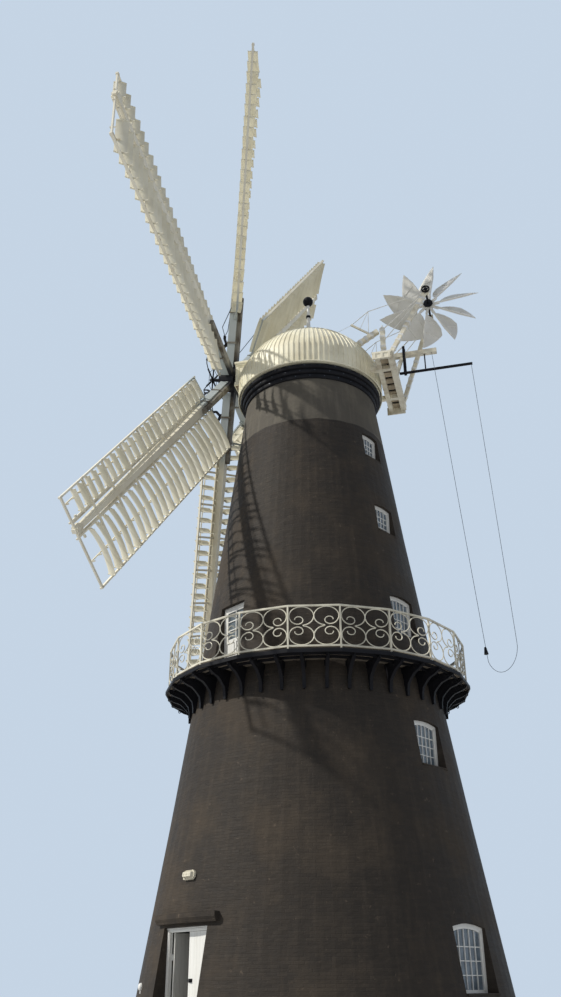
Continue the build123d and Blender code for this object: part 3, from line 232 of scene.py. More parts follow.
BACKDROP = (0.56, 0.66, 0.78)
SKY_FILL = (0.88, 0.92, 1.0)
SKY_STRENGTH = 0.33
world = bpy.data.worlds.new("studio")
world.use_nodes = True
bpy.context.scene.world = world
sky = Signal(world.node_tree, None)
seen = 0.0
for kind in ("Is Camera Ray", "Is Transmission Ray", "Is Glossy Ray"):
    seen = sky.sum("MAXIMUM", seen, sky.node("ShaderNodeLightPath", result=kind))
fill = sky.node("ShaderNodeBackground", None, {"Color": (*SKY_FILL, 1), "Strength": SKY_STRENGTH})
backdrop = sky.node("ShaderNodeBackground", None, {"Color": (*BACKDROP, 1), "Strength": 1.0})
mixed = sky.node("ShaderNodeMixShader", None, {0: seen, 1: fill, 2: backdrop})
sky.tree.links.new(mixed.socket, sky.tree.nodes["World Output"].inputs["Surface"])

FLOOR_HALF = 60
floor_mesh = bpy.data.meshes.new("studio_floor")
floor_mesh.from_pydata([(x * FLOOR_HALF, y * FLOOR_HALF, 0) for x, y in ((-1, -1), (1, -1), (1, 1), (-1, 1))],
                       [], [(0, 1, 2, 3)])
studio_floor = bpy.data.objects.new("studio_floor", floor_mesh)
bpy.context.scene.collection.objects.link(studio_floor)
floor_finish = Finish("pale_floor", 0.85)
cloudy = floor_finish.place.noise(0.3).ramp(0.3, 0.7)
floor_finish.feed("Base Color", cloudy.tint((0.60, 0.61, 0.62), (0.64, 0.65, 0.66)))
floor_mesh.materials.append(floor_finish.material)
print("key light from azimuth", SUN_AZIMUTH, "height", SUN_HEIGHT)

# %% [markdown]
# ## Stock: collecting corners and faces
# Joiners' and smiths' work is mostly straight bars, boards, bent rods and turnings. Each could
# be a primitive of its own, scaled and joined, but that soon makes thousands of objects. One
# helper collects them as corners and faces in a local frame, so a piece becomes one mesh.

# %% Stock
def flat(half_wide, half_thick):
    """A rectangular section."""
    return [(-half_wide, -half_thick), (half_wide, -half_thick), (half_wide, half_thick), (-half_wide, half_thick)]


class Stock:
    """Corners and faces of one piece; place turns local shapes into the mill's frame."""

    def __init__(self):
        self.corners = []
        self.faces = []
        self.place = Matrix()

    def add(self, corners, faces):
        start = len(self.corners)
        self.corners += [self.place @ Vector(corner) for corner in corners]
        self.faces += [[start + index for index in face] for face in faces]

    def block(self, corner, opposite):
        across, along, up = (sorted(pair) for pair in zip(corner, opposite))
        corners = [(x, y, z) for x in across for y in along for z in up]
        self.add(corners, [(0, 1, 3, 2), (4, 6, 7, 5), (0, 4, 5, 1), (2, 3, 7, 6), (0, 2, 6, 4), (1, 5, 7, 3)])

    def board(self, outline, back, front):
        """A flat shape in local x and y, between two depths in z."""
        count = len(outline)
        corners = [(x, y, back) for x, y in outline] + [(x, y, front) for x, y in outline]
        rim = [(i, (i + 1) % count, (i + 1) % count + count, i + count) for i in range(count)]
        self.add(corners, [list(range(count))[::-1], [i + count for i in range(count)]] + rim)

    def sweep(self, path, section, side=None, closed=False):
        """A section of (across, up) points carried along a path; side fixes its across direction."""
        path = [Vector(point) for point in path]
        count = len(section)
        corners = []
        across = Vector(side) if side else None
        for index, point in enumerate(path):
            before = path[index - 1] if index or closed else point
            after = path[(index + 1) % len(path)] if index + 1 < len(path) or closed else point
            along = (after - before).normalized()
            if across is None:
                across = along.orthogonal()
            across = (across - along * across.dot(along)).normalized()
            up = along.cross(across)
            grow = 1
            if before != point and after != point:
                bend = (point - before).angle(after - point, 0)
                grow = 1 / max(cos(bend / 2), 0.5)
            corners += [point + across * (u * grow) + up * (v * grow) for u, v in section]
            if side:
                across = Vector(side)
        rings = len(path) if closed else len(path) - 1
        faces = []
        for ring in range(rings):
            here = ring * count
            there = (ring + 1) % len(path) * count
            faces += [(here + i, here + (i + 1) % count, there + (i + 1) % count, there + i) for i in range(count)]
        if not closed:
            faces += [list(range(count))[::-1], [(len(path) - 1) * count + i for i in range(count)]]
        self.add(corners, faces)

    def rod(self, path, radius, sides=8, side=None):
        self.sweep(path, [(radius * cos(2 * pi * i / sides), radius * sin(2 * pi * i / sides))
                          for i in range(sides)], side)

    def bar(self, start, end, width, depth, side):
        """A straight bar; side is the direction of its width."""
        self.sweep([start, end], flat(width / 2, depth / 2), side)

    def turned(self, profile, sides=24, closed=False):
        """(radius, height) pairs carried once round local z; closed makes a ring of them, without ends."""
        rows = len(profile)
        corners = [(r * cos(2 * pi * i / sides), r * sin(2 * pi * i / sides), z)
                   for r, z in profile for i in range(sides)]
        faces = []
        for row in range(rows if closed else rows - 1):
            here, there = row * sides, (row + 1) % rows * sides
            faces += [(here + i, here + (i + 1) % sides, there + (i + 1) % sides, there + i) for i in range(sides)]
        if not closed:
            faces += [list(range(sides))[::-1], [(rows - 1) * sides + i for i in range(sides)]]
        self.add(corners, faces)


print("stock shapes:", *(name for name in vars(Stock) if not name.startswith("_")))

# %% [markdown]
# A piece is one mesh object. Making one always takes the same steps: faces turned outwards,
# edges bevelled where a tool would have broken them, smooth shading up to an angle, a finish,
# and the body that carries it. One function does them all, so that no piece misses a step.

# %% Pieces and their paint
def frame_at(origin, x_dir, z_dir):
    """A local frame: x_dir across, z_dir out of the face."""
    z = Vector(z_dir).normalized()
    x = (Vector(x_dir) - z * Vector(x_dir).dot(z)).normalized()
    return Matrix.Translation(Vector(origin)) @ Matrix((x, z.cross(x), z)).transposed().to_4x4()


triangles = {}


def piece(name, stock, finish, body, stands_for=(), smooth=35, bevel=0, place=None):
    """Makes one mesh object of the stock, paints it and lets it ride on its body."""
    mesh = bpy.data.meshes.new(name)
    mesh.from_pydata(stock.corners, [], stock.faces)
    tidy = bmesh.new()
    tidy.from_mesh(mesh)
    bmesh.ops.recalc_face_normals(tidy, faces=tidy.faces)
    if bevel:
        sharp = [edge for edge in tidy.edges if edge.calc_face_angle(0) > radians(40)]
        bmesh.ops.bevel(tidy, geom=sharp, offset=bevel, segments=1, profile=0.7, affect="EDGES")
    tidy.to_mesh(mesh)
    tidy.free()
    if place:
        mesh.transform(place)
    mesh.polygons.foreach_set("use_smooth", [True] * len(mesh.polygons))
    mesh.set_sharp_from_angle(angle=radians(smooth))
    mesh.materials.append(finish.material)
    made = bpy.data.objects.new(name, mesh)
    bpy.context.scene.collection.objects.link(made)
    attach(made, body)
    if stands_for:
        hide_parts(*stands_for)
    triangles[name] = sum(len(face.vertices) - 2 for face in mesh.polygons)
    print("piece", name, "on", body, triangles[name], "triangles")
    return made


def paint(finish, *names):
    """Gives solid-model nodes their finish."""
    for name in names:
        slots = nodes[name].data.materials
        slots.clear()
        slots.append(finish.material)
    print(finish.material.name, "on", *names)


# %% [markdown]
# ## Tarred brickwork
# The tower is brick laid in level courses round a leaning cone and painted with black tar, which
# has worn to brown in places. A flat image of bricks would smear on a cone, so the pattern is
# worked out from the height (the course) and the angle round the tower (the brick), with the
# count of bricks in each course falling as the tower narrows. The top metre and a half is
# rendered smooth and has faded lighter.

# %% Brick finish
COURSE = 0.075
BRICK = 0.235
TOWER_HEIGHT = 19.0
BASE_RADIUS = 5.03
TOP_RADIUS = 2.195
BATTER_HOLLOW = 0.097
RENDER_EDGE = 17.35

brick = Finish("tarred_brick", 0.65, specular_ior_level=0.1)
x, y, z = brick.place.parts()
height = z / COURSE
course = height.floor()
share = course * (COURSE / TOWER_HEIGHT)
tower_radius = (BASE_RADIUS + share * (TOP_RADIUS - BASE_RADIUS)) - share * (1 - share) * (4 * BATTER_HOLLOW)
turn = y.sum("ARCTAN2", y, x)
bricks_round = (tower_radius * (2 * pi / BRICK)).floor()
drift = course.chance(course)
along = turn * bricks_round / (2 * pi) + course * 0.5 + drift * 0.45
bed_joint = abs(height.fraction() - 0.5).ramp(0.38, 0.47)
end_joint = abs(along.fraction() - 0.5).ramp(0.455, 0.485)
joint = bed_joint.sum("MAXIMUM", bed_joint, end_joint)
each = course.chance(along.floor(), course)
ragged = z + brick.place.noise(1.6, 3) * 0.2
rendered = ragged.ramp(RENDER_EDGE + 0.08, RENDER_EDGE + 0.12)
patches = brick.place.noise(0.55, 5, 0.62).ramp(0.42, 0.66)
streaks = brick.place.scaled(5.0, 5.0, 0.45).noise(1.0, 4, 0.6).ramp(0.45, 0.75)
grit = brick.place.noise(38, 3, 0.6)
chips = (brick.place.noise(5.5, 5, 0.7) + each * 0.08).ramp(0.68, 0.76)
tar = (patches * 0.55 + each * 0.18 + streaks * 0.3).tint((0.038, 0.033, 0.029), (0.078, 0.063, 0.049))
worn = (chips * 0.6).tint(tar, (0.125, 0.098, 0.076))
jointed = (joint * 0.08).tint(worn, (0.028, 0.025, 0.023))
smooth_band = (patches * 0.5 + streaks * 0.5).tint((0.11, 0.10, 0.085), (0.18, 0.165, 0.135))
edge_line = (abs(ragged - (RENDER_EDGE + 0.10)).ramp(0.05, 0.02)) * patches.ramp(0.2, 0.6)
brick.feed("Base Color", (edge_line * 0.7).tint(rendered.tint(jointed, smooth_band), (0.20, 0.185, 0.16)))
brick.feed("Roughness", 0.55 + patches * 0.15 + grit * 0.12 + rendered * 0.08)
bricks = (1 - rendered) * ((1 - joint) * 0.20 + each * 0.12)
lumps = brick.place.scaled(1.7, 1.7, 5.0).noise(1.4, 5, 0.62)
brick.bump(bricks + grit * 0.14 + lumps * 2.0, 0.012)
paint(brick, "wall_over_door", "wall_1", "wall_2", "wall_3", "wall_4", "wall_5", "wall_6", "door_hood")
print("courses up the tower", round(TOWER_HEIGHT / COURSE))

# %% [markdown]
# ## Paints, iron, boards and glass
# Painted timber is never one flat colour: rain leaves grey runs, green algae sits where water
# lingers, and the brush leaves fine lines along the grain. It could be painted on by hand, but
# noises of the right size and stretch do the same on every board, and one function then gives
# each paint of the mill from its own colours.

# %% Painted timber
def timber_paint(name, light, dark, algae, roughness, grain=(3, 3, 3), grime=0.5, coat=0.0):
    """Gloss or oil paint on boards; grain gives the noise's stretch along x, y and z."""
    made = Finish(name, roughness, coat_weight=coat)
    stain = made.place.noise(1.3, 5, 0.65).ramp(0.40, 0.72)
    runs = made.place.scaled(7, 7, 0.8).noise(1.0, 4, 0.6).ramp(0.5, 0.8)
    fibres = made.place.scaled(*grain).noise(6, 3, 0.6)
    green = made.place.noise(3.1, 4, 0.6).ramp(0.60, 0.78)
    dirt = stain * grime + runs * (grime * 0.6) + (fibres - 0.5) * 0.35
    aged = dirt.sum("MAXIMUM", dirt, 0.0).tint(light, dark)
    made.feed("Base Color", (green * 0.35 * grime).tint(aged, algae))
    made.feed("Roughness", roughness + stain * 0.18 + fibres * 0.08)
    made.bump(fibres * 0.7 + made.place.noise(24, 2) * 0.3, 0.0025)
    return made


cream_cap = timber_paint("cream_cap", (0.90, 0.86, 0.68), (0.56, 0.50, 0.34), (0.34, 0.36, 0.24),
                         0.42, (18, 18, 1.2))
cream_stage = timber_paint("cream_stage", (0.86, 0.82, 0.68), (0.44, 0.37, 0.25), (0.33, 0.34, 0.22),
                           0.48, (14, 1.2, 14), 0.7)
white_joinery = timber_paint("white_joinery", (0.83, 0.83, 0.80), (0.58, 0.58, 0.54), (0.45, 0.47, 0.38),
                             0.30, (14, 14, 1.2), 0.25, 0.3)
fan_white = timber_paint("fan_white", (0.88, 0.87, 0.82), (0.62, 0.60, 0.52), (0.42, 0.44, 0.34),
                         0.36, (8, 8, 8), 0.35)
lamp_cream = timber_paint("lamp_cream", (0.68, 0.64, 0.52), (0.45, 0.42, 0.33), (0.40, 0.40, 0.30),
                          0.35, (10, 10, 10), 0.3)
# The stage's planks are a darker brown: partly weathered bare wood, partly painted shade, since they are seen from
# below in the stage's own shadow
stage_weathered_and_shaded = timber_paint("stage_weathered_and_shaded", (0.54, 0.46, 0.34), (0.27, 0.21, 0.14), (0.30, 0.31, 0.20),
                           0.6, (14, 1.2, 14), 0.8)
print("painted timbers ready")

# %% [markdown]
# The curb, brackets and hub are black iron, the railing is iron under cream paint, and the chain
# is bare steel. One even colour would read as plastic. Rust sits in small pits and paint fades
# in soft clouds, so two noises of different size are mixed, and the pits also dent the surface.

# %% Iron and steel
def iron_paint(name, base, rust, roughness, rust_share, coat):
    made = Finish(name, roughness, coat_weight=coat, coat_roughness=0.2, specular_ior_level=0.12)
    pits = made.place.noise(9, 5, 0.7).ramp(0.62, 0.74)
    cloud = made.place.noise(2.2, 3).ramp(0.35, 0.7)
    fresh = cloud.tint(base, tuple(c * 0.72 for c in base))
    made.feed("Base Color", (pits * rust_share).tint(fresh, rust))
    made.feed("Roughness", roughness + pits * 0.3 + cloud * 0.08)
    made.bump(made.place.noise(30, 3, 0.6) * 0.6 + pits * 0.4, 0.0015)
    return made


black_iron = iron_paint("black_iron", (0.013, 0.013, 0.016), (0.07, 0.045, 0.03), 0.5, 0.3, 0.0)
gallery_cream = iron_paint("gallery_cream", (0.80, 0.77, 0.65), (0.36, 0.24, 0.14), 0.38, 0.55, 0.15)
dull_steel = iron_paint("dull_steel", (0.11, 0.12, 0.14), (0.16, 0.10, 0.06), 0.45, 0.4, 0.0)
dull_steel.shader.inputs["Metallic"].default_value = 0.8
print("iron paints ready")

# %% [markdown]
# The gallery deck and the floors are bare softwood boards. They could be modelled one by one,
# but the solid deck is there at its real size, so the joints, the tone of each board and the
# figure of the wood are worked out from the distance across the boards. On the gallery that is
# the distance from the tower, so that the boards run round it.

# %% Boards of the floors and the gallery deck
def laid_boards(name, width, across, light, dark, roughness=0.6):
    """Unpainted boards side by side; across works out the distance over the boards."""
    made = Finish(name, roughness)
    place = across(made) / width
    board = place.floor()
    gap = abs(place.fraction() - 0.5).ramp(0.47, 0.49)
    tone = board.chance(board)
    figure = made.place.scaled(2, 2, 20).noise(2.4, 5, 0.65)
    wood = (tone * 0.5 + figure * 0.6).tint(dark, light)
    made.feed("Base Color", gap.tint(wood, (0.03, 0.026, 0.022)))
    made.feed("Roughness", roughness + figure * 0.2)
    made.bump((1 - gap) * 0.7 + figure * 0.3, 0.006)
    return made


def from_middle(made):
    """Distance from the tower's centre line, so boards run round the gallery."""
    x, y, z = made.place.parts()
    return x.sum("SQRT", x * x + y * y)


def over_x(made):
    return made.place.parts()[0] + 50


deck_boards = laid_boards("deck_boards", 0.17, from_middle, (0.30, 0.255, 0.20), (0.15, 0.125, 0.10))
room_boards = laid_boards("room_boards", 0.21, over_x, (0.36, 0.29, 0.21), (0.22, 0.17, 0.12))
paint(deck_boards, "gallery_deck")
paint(room_boards, "upper_floors", "ground_floor")
print("deck boards 170 mm, room boards 210 mm wide")

# %% [markdown]
# Old window glass is never quite flat, and the room behind it is dark. Full refraction would
# cost time and show an empty tower, so the pane is a grey blue, only partly see-through: the
# grey blue is painted reflection on the glass. A slow wave in its surface breaks up what it
# reflects, and moves the painted reflection between two greys.

# %% Window glass
glass = Finish("window_glass", 0.06, ior=1.5, specular_ior_level=0.7)
wave = glass.place.noise(3.4, 2)
# The two grey blues are painted reflection, mixed by the wave
glass.feed("Base Color", wave.ramp(0.3, 0.7).tint((0.12, 0.155, 0.19), (0.19, 0.24, 0.29)))
glass.feed("Alpha", 0.75 + wave * 0.2)
glass.bump(wave, 0.004)
paint(glass, "window_glass")
print("glass waves about 0.3 m long")

# %% [markdown]
# Most of the solid model's shapes are right as they are and only need their paint. A copy of
# the mesh would be a waste, so each node's own material slot takes one of the finishes above.

# %% Finishes on the solid nodes
paint(white_joinery, "window_frames", "door_frame", "stage_door")
paint(lamp_cream, "bulkhead_lamp")
paint(black_iron, "curb", "gallery_fascia", "gallery_brackets", "windshaft", "neck_bearing",
      "striking_spider", "striking_pole", "fan_axle", "finial_ball", "chain_weight")
paint(gallery_cream, "gallery_posts", "gallery_rails")
paint(cream_cap, "cap_dome", "cap_ring", "finial", "front_box")
paint(cream_stage, "stage_frame", "fan_posts", "stage_uprights", "rear_spar", "stage_fascia",
      "stage_braces")
paint(stage_weathered_and_shaded, "stage_planks")
paint(fan_white, "fan_blades")
paint(dull_steel, "chain")

# %% [markdown]
# ## Windows
# The wall leans inwards in a shallow hollow curve, its batter. All that is fixed to the wall has
# to follow it, so one function gives the wall's outer radius at any height, and another a
# frame that stands against the wall at any angle. Measuring each piece's place would be slower.

# %% The wall's batter
BATTER_BREAKS = (0, 5.4, 9.3, 13.9, 19.0)


def batter_radius(z):
    share = z / TOWER_HEIGHT
    return BASE_RADIUS + (TOP_RADIUS - BASE_RADIUS) * share - 4 * BATTER_HOLLOW * share * (1 - share)


def outer_radius(z):
    """Outside of the brickwork, straight between the batter's breaks."""
    for low, high in zip(BATTER_BREAKS, BATTER_BREAKS[1:]):
        if z <= high:
            share = (z - low) / (high - low)
            return batter_radius(low) + (batter_radius(high) - batter_radius(low)) * share


def wall_frame(angle, radius, z):
    """Local x across the wall, y up, z out of it."""
    out = Vector((cos(radians(angle)), sin(radians(angle)), 0))
    return frame_at(out * radius + Vector((0, 0, z)), (-out.y, out.x, 0), out)


print("wall radius", *(round(outer_radius(z), 3) for z in BATTER_BREAKS))

# %% [markdown]
# Each window is a fixed sash in a painted frame: small panes, four or five across and four high,
# held by thin glazing bars. The bars could be drawn on the glass, but as real strips before it
# they throw fine shadow lines. A flush brick sill closes the foot of each opening.

# %% Glazing bars and sills
WINDOW_ANGLES = (61.5, 241.5)
# Sill height, height, width and panes across, from the ground up
WINDOWS = ((1.4, 1.51, 1.37, 5), (6.6, 1.23, 1.1, 5), (10.2, 1.26, 1.04, 5),
           (13.56, 0.95, 0.83, 4), (16.25, 0.9, 0.76, 4))
PANES_HIGH = 4
WINDOW_SETBACK = 0.11
WINDOW_FRAME = 0.07
WINDOW_DEPTH = 0.09
HEAD_RISE = 0.06
BAR_WIDTH = 0.021
SASH = 0.045
bars = Stock()
sills = Stock()
for angle in WINDOW_ANGLES:
    for sill, tall, wide, across in WINDOWS:
        face = outer_radius(sill + tall) - WINDOW_SETBACK
        bars.place = wall_frame(angle, face - WINDOW_DEPTH / 2, sill)
        half = wide / 2 - WINDOW_FRAME
        low = WINDOW_FRAME
        rise = HEAD_RISE * wide
        spring = tall - rise - WINDOW_FRAME
        front, back = WINDOW_DEPTH / 2 - 0.012, 0.001
        for side in (-1, 1):
            bars.block((side * half, low, back), (side * (half - SASH), spring, front))
        bars.block((-half, low, back), (half, low + SASH, front))
        arch = [(half * s, spring + rise * (1 - s * s)) for s in (1, 0.6, 0.2, -0.2, -0.6, -1)]
        bars.board(arch + [(x, y - SASH * 0.9) for x, y in arch[::-1]], back, front)
        sash_half = half - SASH
        for pane in range(1, across):
            x = -sash_half + 2 * sash_half * pane / across
            top = spring + rise * (1 - (x / half) ** 2) - SASH
            bars.block((x - BAR_WIDTH / 2, low + SASH, back), (x + BAR_WIDTH / 2, top, front - 0.006))
        for pane in range(1, PANES_HIGH):
            y = low + SASH + (spring - low - 2 * SASH) * pane / PANES_HIGH
            bars.block((-sash_half, y - BAR_WIDTH / 2, back), (sash_half, y + BAR_WIDTH / 2, front - 0.009))
        sills.place = wall_frame(angle, face, sill)
        end = wide / 2 - 0.002
        sills.block((-end, 0.001, -0.02), (end, 0.045, outer_radius(sill) - face - 0.01))
piece("glazing_bars", bars, white_joinery, "tower")
piece("window_sills", sills, brick, "tower", bevel=0.006)

# %% [markdown]
# ## The doors
# The ground doorway has two boarded leaves, one shut and one standing open. The open one gets
# the same paint darker, as painted shade, since it stands back in the doorway's shadow. The
# boards run upright with a small V groove at each joint. Cutting the grooves would add many thin
# faces, so the finish works them out from the distance across the leaf.

# %% Boarded leaves
DOOR_ANGLE = -34.7
DOOR_BOARD = 0.118
LEAF_LOW = 0.09
door_out = Vector((cos(radians(DOOR_ANGLE)), sin(radians(DOOR_ANGLE)), 0))
door_across = Vector((-door_out.y, door_out.x, 0))


def leaf_paint(name, over, light, dark):
    """White gloss on boards; over is the direction across them."""
    made = Finish(name, 0.32, coat_weight=0.2)
    x, y, z = made.place.parts()
    place = (x * over.x + y * over.y + 20) / DOOR_BOARD
    groove = abs(place.fraction() - 0.5).ramp(0.44, 0.49)
    tone = place.chance(place.floor())
    runs = made.place.scaled(9, 9, 0.9).noise(1.0, 4, 0.6).ramp(0.48, 0.8)
    splash = (z + made.place.noise(3, 3) * 0.3).ramp(0.55, 0.15)
    aged = (runs * 0.35 + tone * 0.12 + splash * 0.5).tint(light, dark)
    made.feed("Base Color", (groove * 0.2).tint(aged, (0.30, 0.31, 0.29)))
    made.feed("Roughness", 0.30 + runs * 0.2 + splash * 0.2)
    made.bump((1 - groove) * 0.4 + made.place.scaled(30, 30, 2).noise(2, 3) * 0.2, 0.004)
    return made


leaf_white = leaf_paint("leaf_white", door_across, (0.85, 0.85, 0.82), (0.55, 0.54, 0.48))
# The open leaf's darker colours are painted shade: the doorway's shadow on the white paint
leaf_painted_shade = leaf_paint("leaf_painted_shade", door_out, (0.74, 0.74, 0.70), (0.48, 0.47, 0.42))
paint(leaf_white, "door_right")
paint(leaf_painted_shade, "door_left")
print("leaf boards", DOOR_BOARD, "m wide")

# %% [markdown]
# A flat architrave with a small ledge frames the doorway. The closed leaf has a weather bar at
# its foot and a black latch. Plain boxes would look too sharp, so a bevel of a few millimetres
# catches the light as planed timber does. What is fixed to the leaf rides on it and swings.

# %% Door furniture
DOOR_FACE = outer_radius(2.88) * cos(0.86 / BASE_RADIUS) - 0.12
LEAF_FACE = DOOR_FACE - 0.09 + 0.006 + 0.05
architrave = Stock()
architrave.place = wall_frame(DOOR_ANGLE, DOOR_FACE, 0)
for side in (-1, 1):
    architrave.block((side * 0.80 - 0.018, 0.085, 0), (side * 0.80 + 0.018, 2.80, 0.018))
architrave.block((-0.818, 2.80, 0), (0.818, 2.84, 0.018))
architrave.block((-0.85, 2.845, -0.01), (0.85, 2.875, 0.03))
piece("door_architrave", architrave, white_joinery, "tower", bevel=0.004)
weather_bar = Stock()
weather_bar.place = wall_frame(DOOR_ANGLE, LEAF_FACE, 0)
weather_bar.block((0.03, LEAF_LOW + 0.03, 0), (0.73, LEAF_LOW + 0.11, 0.022))
piece("weather_bar", weather_bar, leaf_white, "right_leaf", bevel=0.008)
latch = Stock()
latch.place = wall_frame(DOOR_ANGLE, LEAF_FACE, 0)
LATCH_HEIGHT = 1.74
latch.block((0.03, LATCH_HEIGHT - 0.04, 0), (0.16, LATCH_HEIGHT + 0.04, 0.018))
latch.rod([(x, LATCH_HEIGHT, z) for x, z in ((0.05, 0.02), (0.05, 0.05), (0.14, 0.05), (0.14, 0.02))], 0.009)
piece("door_latch", latch, black_iron, "right_leaf", bevel=0.002)

# %% [markdown]
# The door on to the gallery has six panes over four panels. From the ground it is seen at a
# slant, where painted lines would look flat, so its bars stand before the glass, and a small
# moulding is swept round each panel as a closed path.

# %% Gallery door bars and panels
STAGE_DOOR_SILL = 9.3
stage_face = outer_radius(STAGE_DOOR_SILL + 2.0)
stage_face = stage_face * cos(0.515 / stage_face) - 0.11
stage_bars = Stock()
stage_bars.place = wall_frame(DOOR_ANGLE, stage_face, STAGE_DOOR_SILL)
pane_low, pane_high, pane_half = 1.04, 1.84, 0.355
stage_bars.block((-0.014, pane_low, -0.034), (0.014, pane_high, -0.006))
for share in (1 / 3, 2 / 3):
    level_of_bar = pane_low + (pane_high - pane_low) * share
    stage_bars.block((-pane_half, level_of_bar - 0.014, -0.034), (pane_half, level_of_bar + 0.014, -0.009))
for side in (-1, 1):
    for low, high in ((0.16, 0.50), (0.56, 0.92)):
        near, far = sorted((side * 0.05, side * 0.37))
        stage_bars.sweep([(near, low, 0), (far, low, 0), (far, high, 0), (near, high, 0)],
                         [(-0.016, -0.002), (0.016, -0.002), (0.007, 0.012), (-0.007, 0.012)], None, True)
    stage_bars.block((side * 0.475 - 0.02, 0.02, 0), (side * 0.475 + 0.02, 1.97, 0.014))
stage_bars.block((-0.455, 1.92, 0), (0.455, 1.97, 0.014))
piece("stage_door_bars", stage_bars, white_joinery, "tower")
stage_glass = Stock()
stage_glass.place = stage_bars.place
stage_glass.block((-pane_half, pane_low, -0.042), (pane_half, pane_high, -0.035))
# The opaque pane's near-black is painted shade of the dark room behind it, and its lighter clouds are painted
# reflection
shaded_room_glass = Finish("stage_door_glass", 0.1, specular_ior_level=0.7)
cloudy = shaded_room_glass.place.noise(2.5, 2).ramp(0.3, 0.7)
shaded_room_glass.feed("Base Color", cloudy.tint((0.06, 0.075, 0.085), (0.14, 0.17, 0.19)))
shaded_room_glass.bump(shaded_room_glass.place.noise(3.4, 2), 0.004)
piece("stage_door_glass", stage_glass, shaded_room_glass, "tower")

# %% [markdown]
# The lamp over the doorway sits behind a cage of bent wire, and a small white fitting sits on
# the wall beside the door. Each wire could be a curve with a bevel; sweeping a thin rod through
# a few points gives the same bends and keeps the cage one mesh.

# %% Lamp guard
LAMP_HEIGHT = 4.02
lean = math.atan((outer_radius(LAMP_HEIGHT) - outer_radius(LAMP_HEIGHT + 0.43)) / 0.43)
lamp_out = door_out * cos(lean) + Vector((0, 0, sin(lean)))
guard = Stock()
guard.place = frame_at(door_out * outer_radius(LAMP_HEIGHT) + Vector((0, 0, LAMP_HEIGHT)), door_across, lamp_out)
guard.block((-0.20, -0.098, 0.056), (0.20, -0.004, 0.066))
for across in (-0.11, 0, 0.11):
    hoop = ((-0.09, 0.062), (-0.07, 0.125), (0, 0.14), (0.07, 0.125), (0.09, 0.062))
    guard.rod([(across, up, out) for up, out in hoop], 0.005, 6, (1, 0, 0))
hoop = ((-0.185, 0.062), (-0.16, 0.13), (0, 0.14), (0.16, 0.13), (0.185, 0.062))
guard.rod([(across, 0, out) for across, out in hoop], 0.005, 6, (0, 1, 0))
piece("lamp_guard", guard, lamp_cream, "tower")
BOX_ANGLE, BOX_AT = -57.5, 1.62
bell_box = Stock()
bell_box.place = wall_frame(BOX_ANGLE, outer_radius(BOX_AT) - 0.004, BOX_AT)
bell_box.turned([(0.085, 0), (0.085, 0.03), (0.075, 0.055), (0.05, 0.075), (0.02, 0.08)], 20)
bell_box.block((-0.03, -0.15, 0), (0.03, -0.07, 0.03))
piece("wall_fitting", bell_box, white_joinery, "tower")

# %% [markdown]
# ## Under the gallery
# Cast brackets are T-shaped: a web with a wider flange along its curved lower edge. The solid
# model has the webs. The flanges and the small hooks under the edge are added as bars swept
# along one line of points each, turned to forty places, because a smith or a founder would also
# work from one pattern. The two bearers under the deck and the thin edge board are rings.

# %% Bracket flanges, bearers and hooks
DECK_BOTTOM = 9.20
DECK_TOP = 9.25
DECK_EDGE = 4.45 * cos(pi / 20)
BRACKET_COUNT = 40
GALLERY_PHASE = 2.3
WALL_FOOT = outer_radius(8.4)
WALL_TOP = outer_radius(DECK_BOTTOM) + 0.01
TIP = DECK_EDGE - 0.045
KNEE = WALL_FOOT + (TIP - WALL_FOOT) * 0.5
HOOK = DECK_EDGE - 0.02
FLANGE_LINE = [(WALL_FOOT + 0.065, 8.405), (WALL_FOOT + 0.068, 8.56), (WALL_FOOT + 0.10, 8.72),
               (WALL_FOOT + 0.21, 8.85), (KNEE, 8.957), (KNEE + 0.2, 9.03), (TIP, 9.108)]
HOOK_LINE = [(HOOK, 9.15), (HOOK, 9.08), (HOOK - 0.015, 9.055), (HOOK - 0.045, 9.05), (HOOK - 0.062, 9.075)]
under = Stock()
hooks = Stock()
for number in range(BRACKET_COUNT):
    angle = radians(GALLERY_PHASE + (number + 0.5) * 360 / BRACKET_COUNT)
    out = Vector((cos(angle), sin(angle), 0))
    level_way = (-out.y, out.x, 0)
    under.sweep([out * r + Vector((0, 0, z)) for r, z in FLANGE_LINE], flat(0.045, 0.009), level_way)
    wall_foot, wall_top = (out * WALL_TOP + Vector((0, 0, z)) for z in (8.42, 9.19))
    under.bar(wall_foot, wall_top, 0.10, 0.03, level_way)
    hooks.rod([out * r + Vector((0, 0, z)) for r, z in HOOK_LINE], 0.011, 6, level_way)
for r in (3.93, 4.22):
    under.turned([(r, 9.13), (r + 0.05, 9.13), (r + 0.05, 9.199), (r, 9.199)], 40, True)
piece("bracket_flanges", under, black_iron, "tower")
piece("fascia_hooks", hooks, black_iron, "tower")
edge_board = Stock()
edge_board.place = Matrix.Rotation(radians(GALLERY_PHASE), 4, "Z")
edge_board.turned([(4.405, 9.148), (4.449, 9.148), (4.449, 9.238), (4.441, DECK_TOP), (4.405, DECK_TOP)], 20, True)
piece("gallery_edge", edge_board, black_iron, "tower", ("gallery_fascia",), smooth=15)

# %% [markdown]
# ## Gallery railing
# The railing is cast iron: in each of the twenty bays four C scrolls, mirrored about the middle.
# Each scroll runs from a small ball over the bay's half circle and curls in on itself beside the
# post. Such a line is best drawn as a smith bends it: a heading and a string of bends.

# %% Scroll lines
GALLERY_BAYS = 20
RAIL_RADIUS = 4.35
RAIL_LIFT = 0.07
RAIL_HEIGHT = 1.135
RAIL_DEPTH = 0.045
POST_SIZE = 0.042
SCROLL_BAR = 0.024


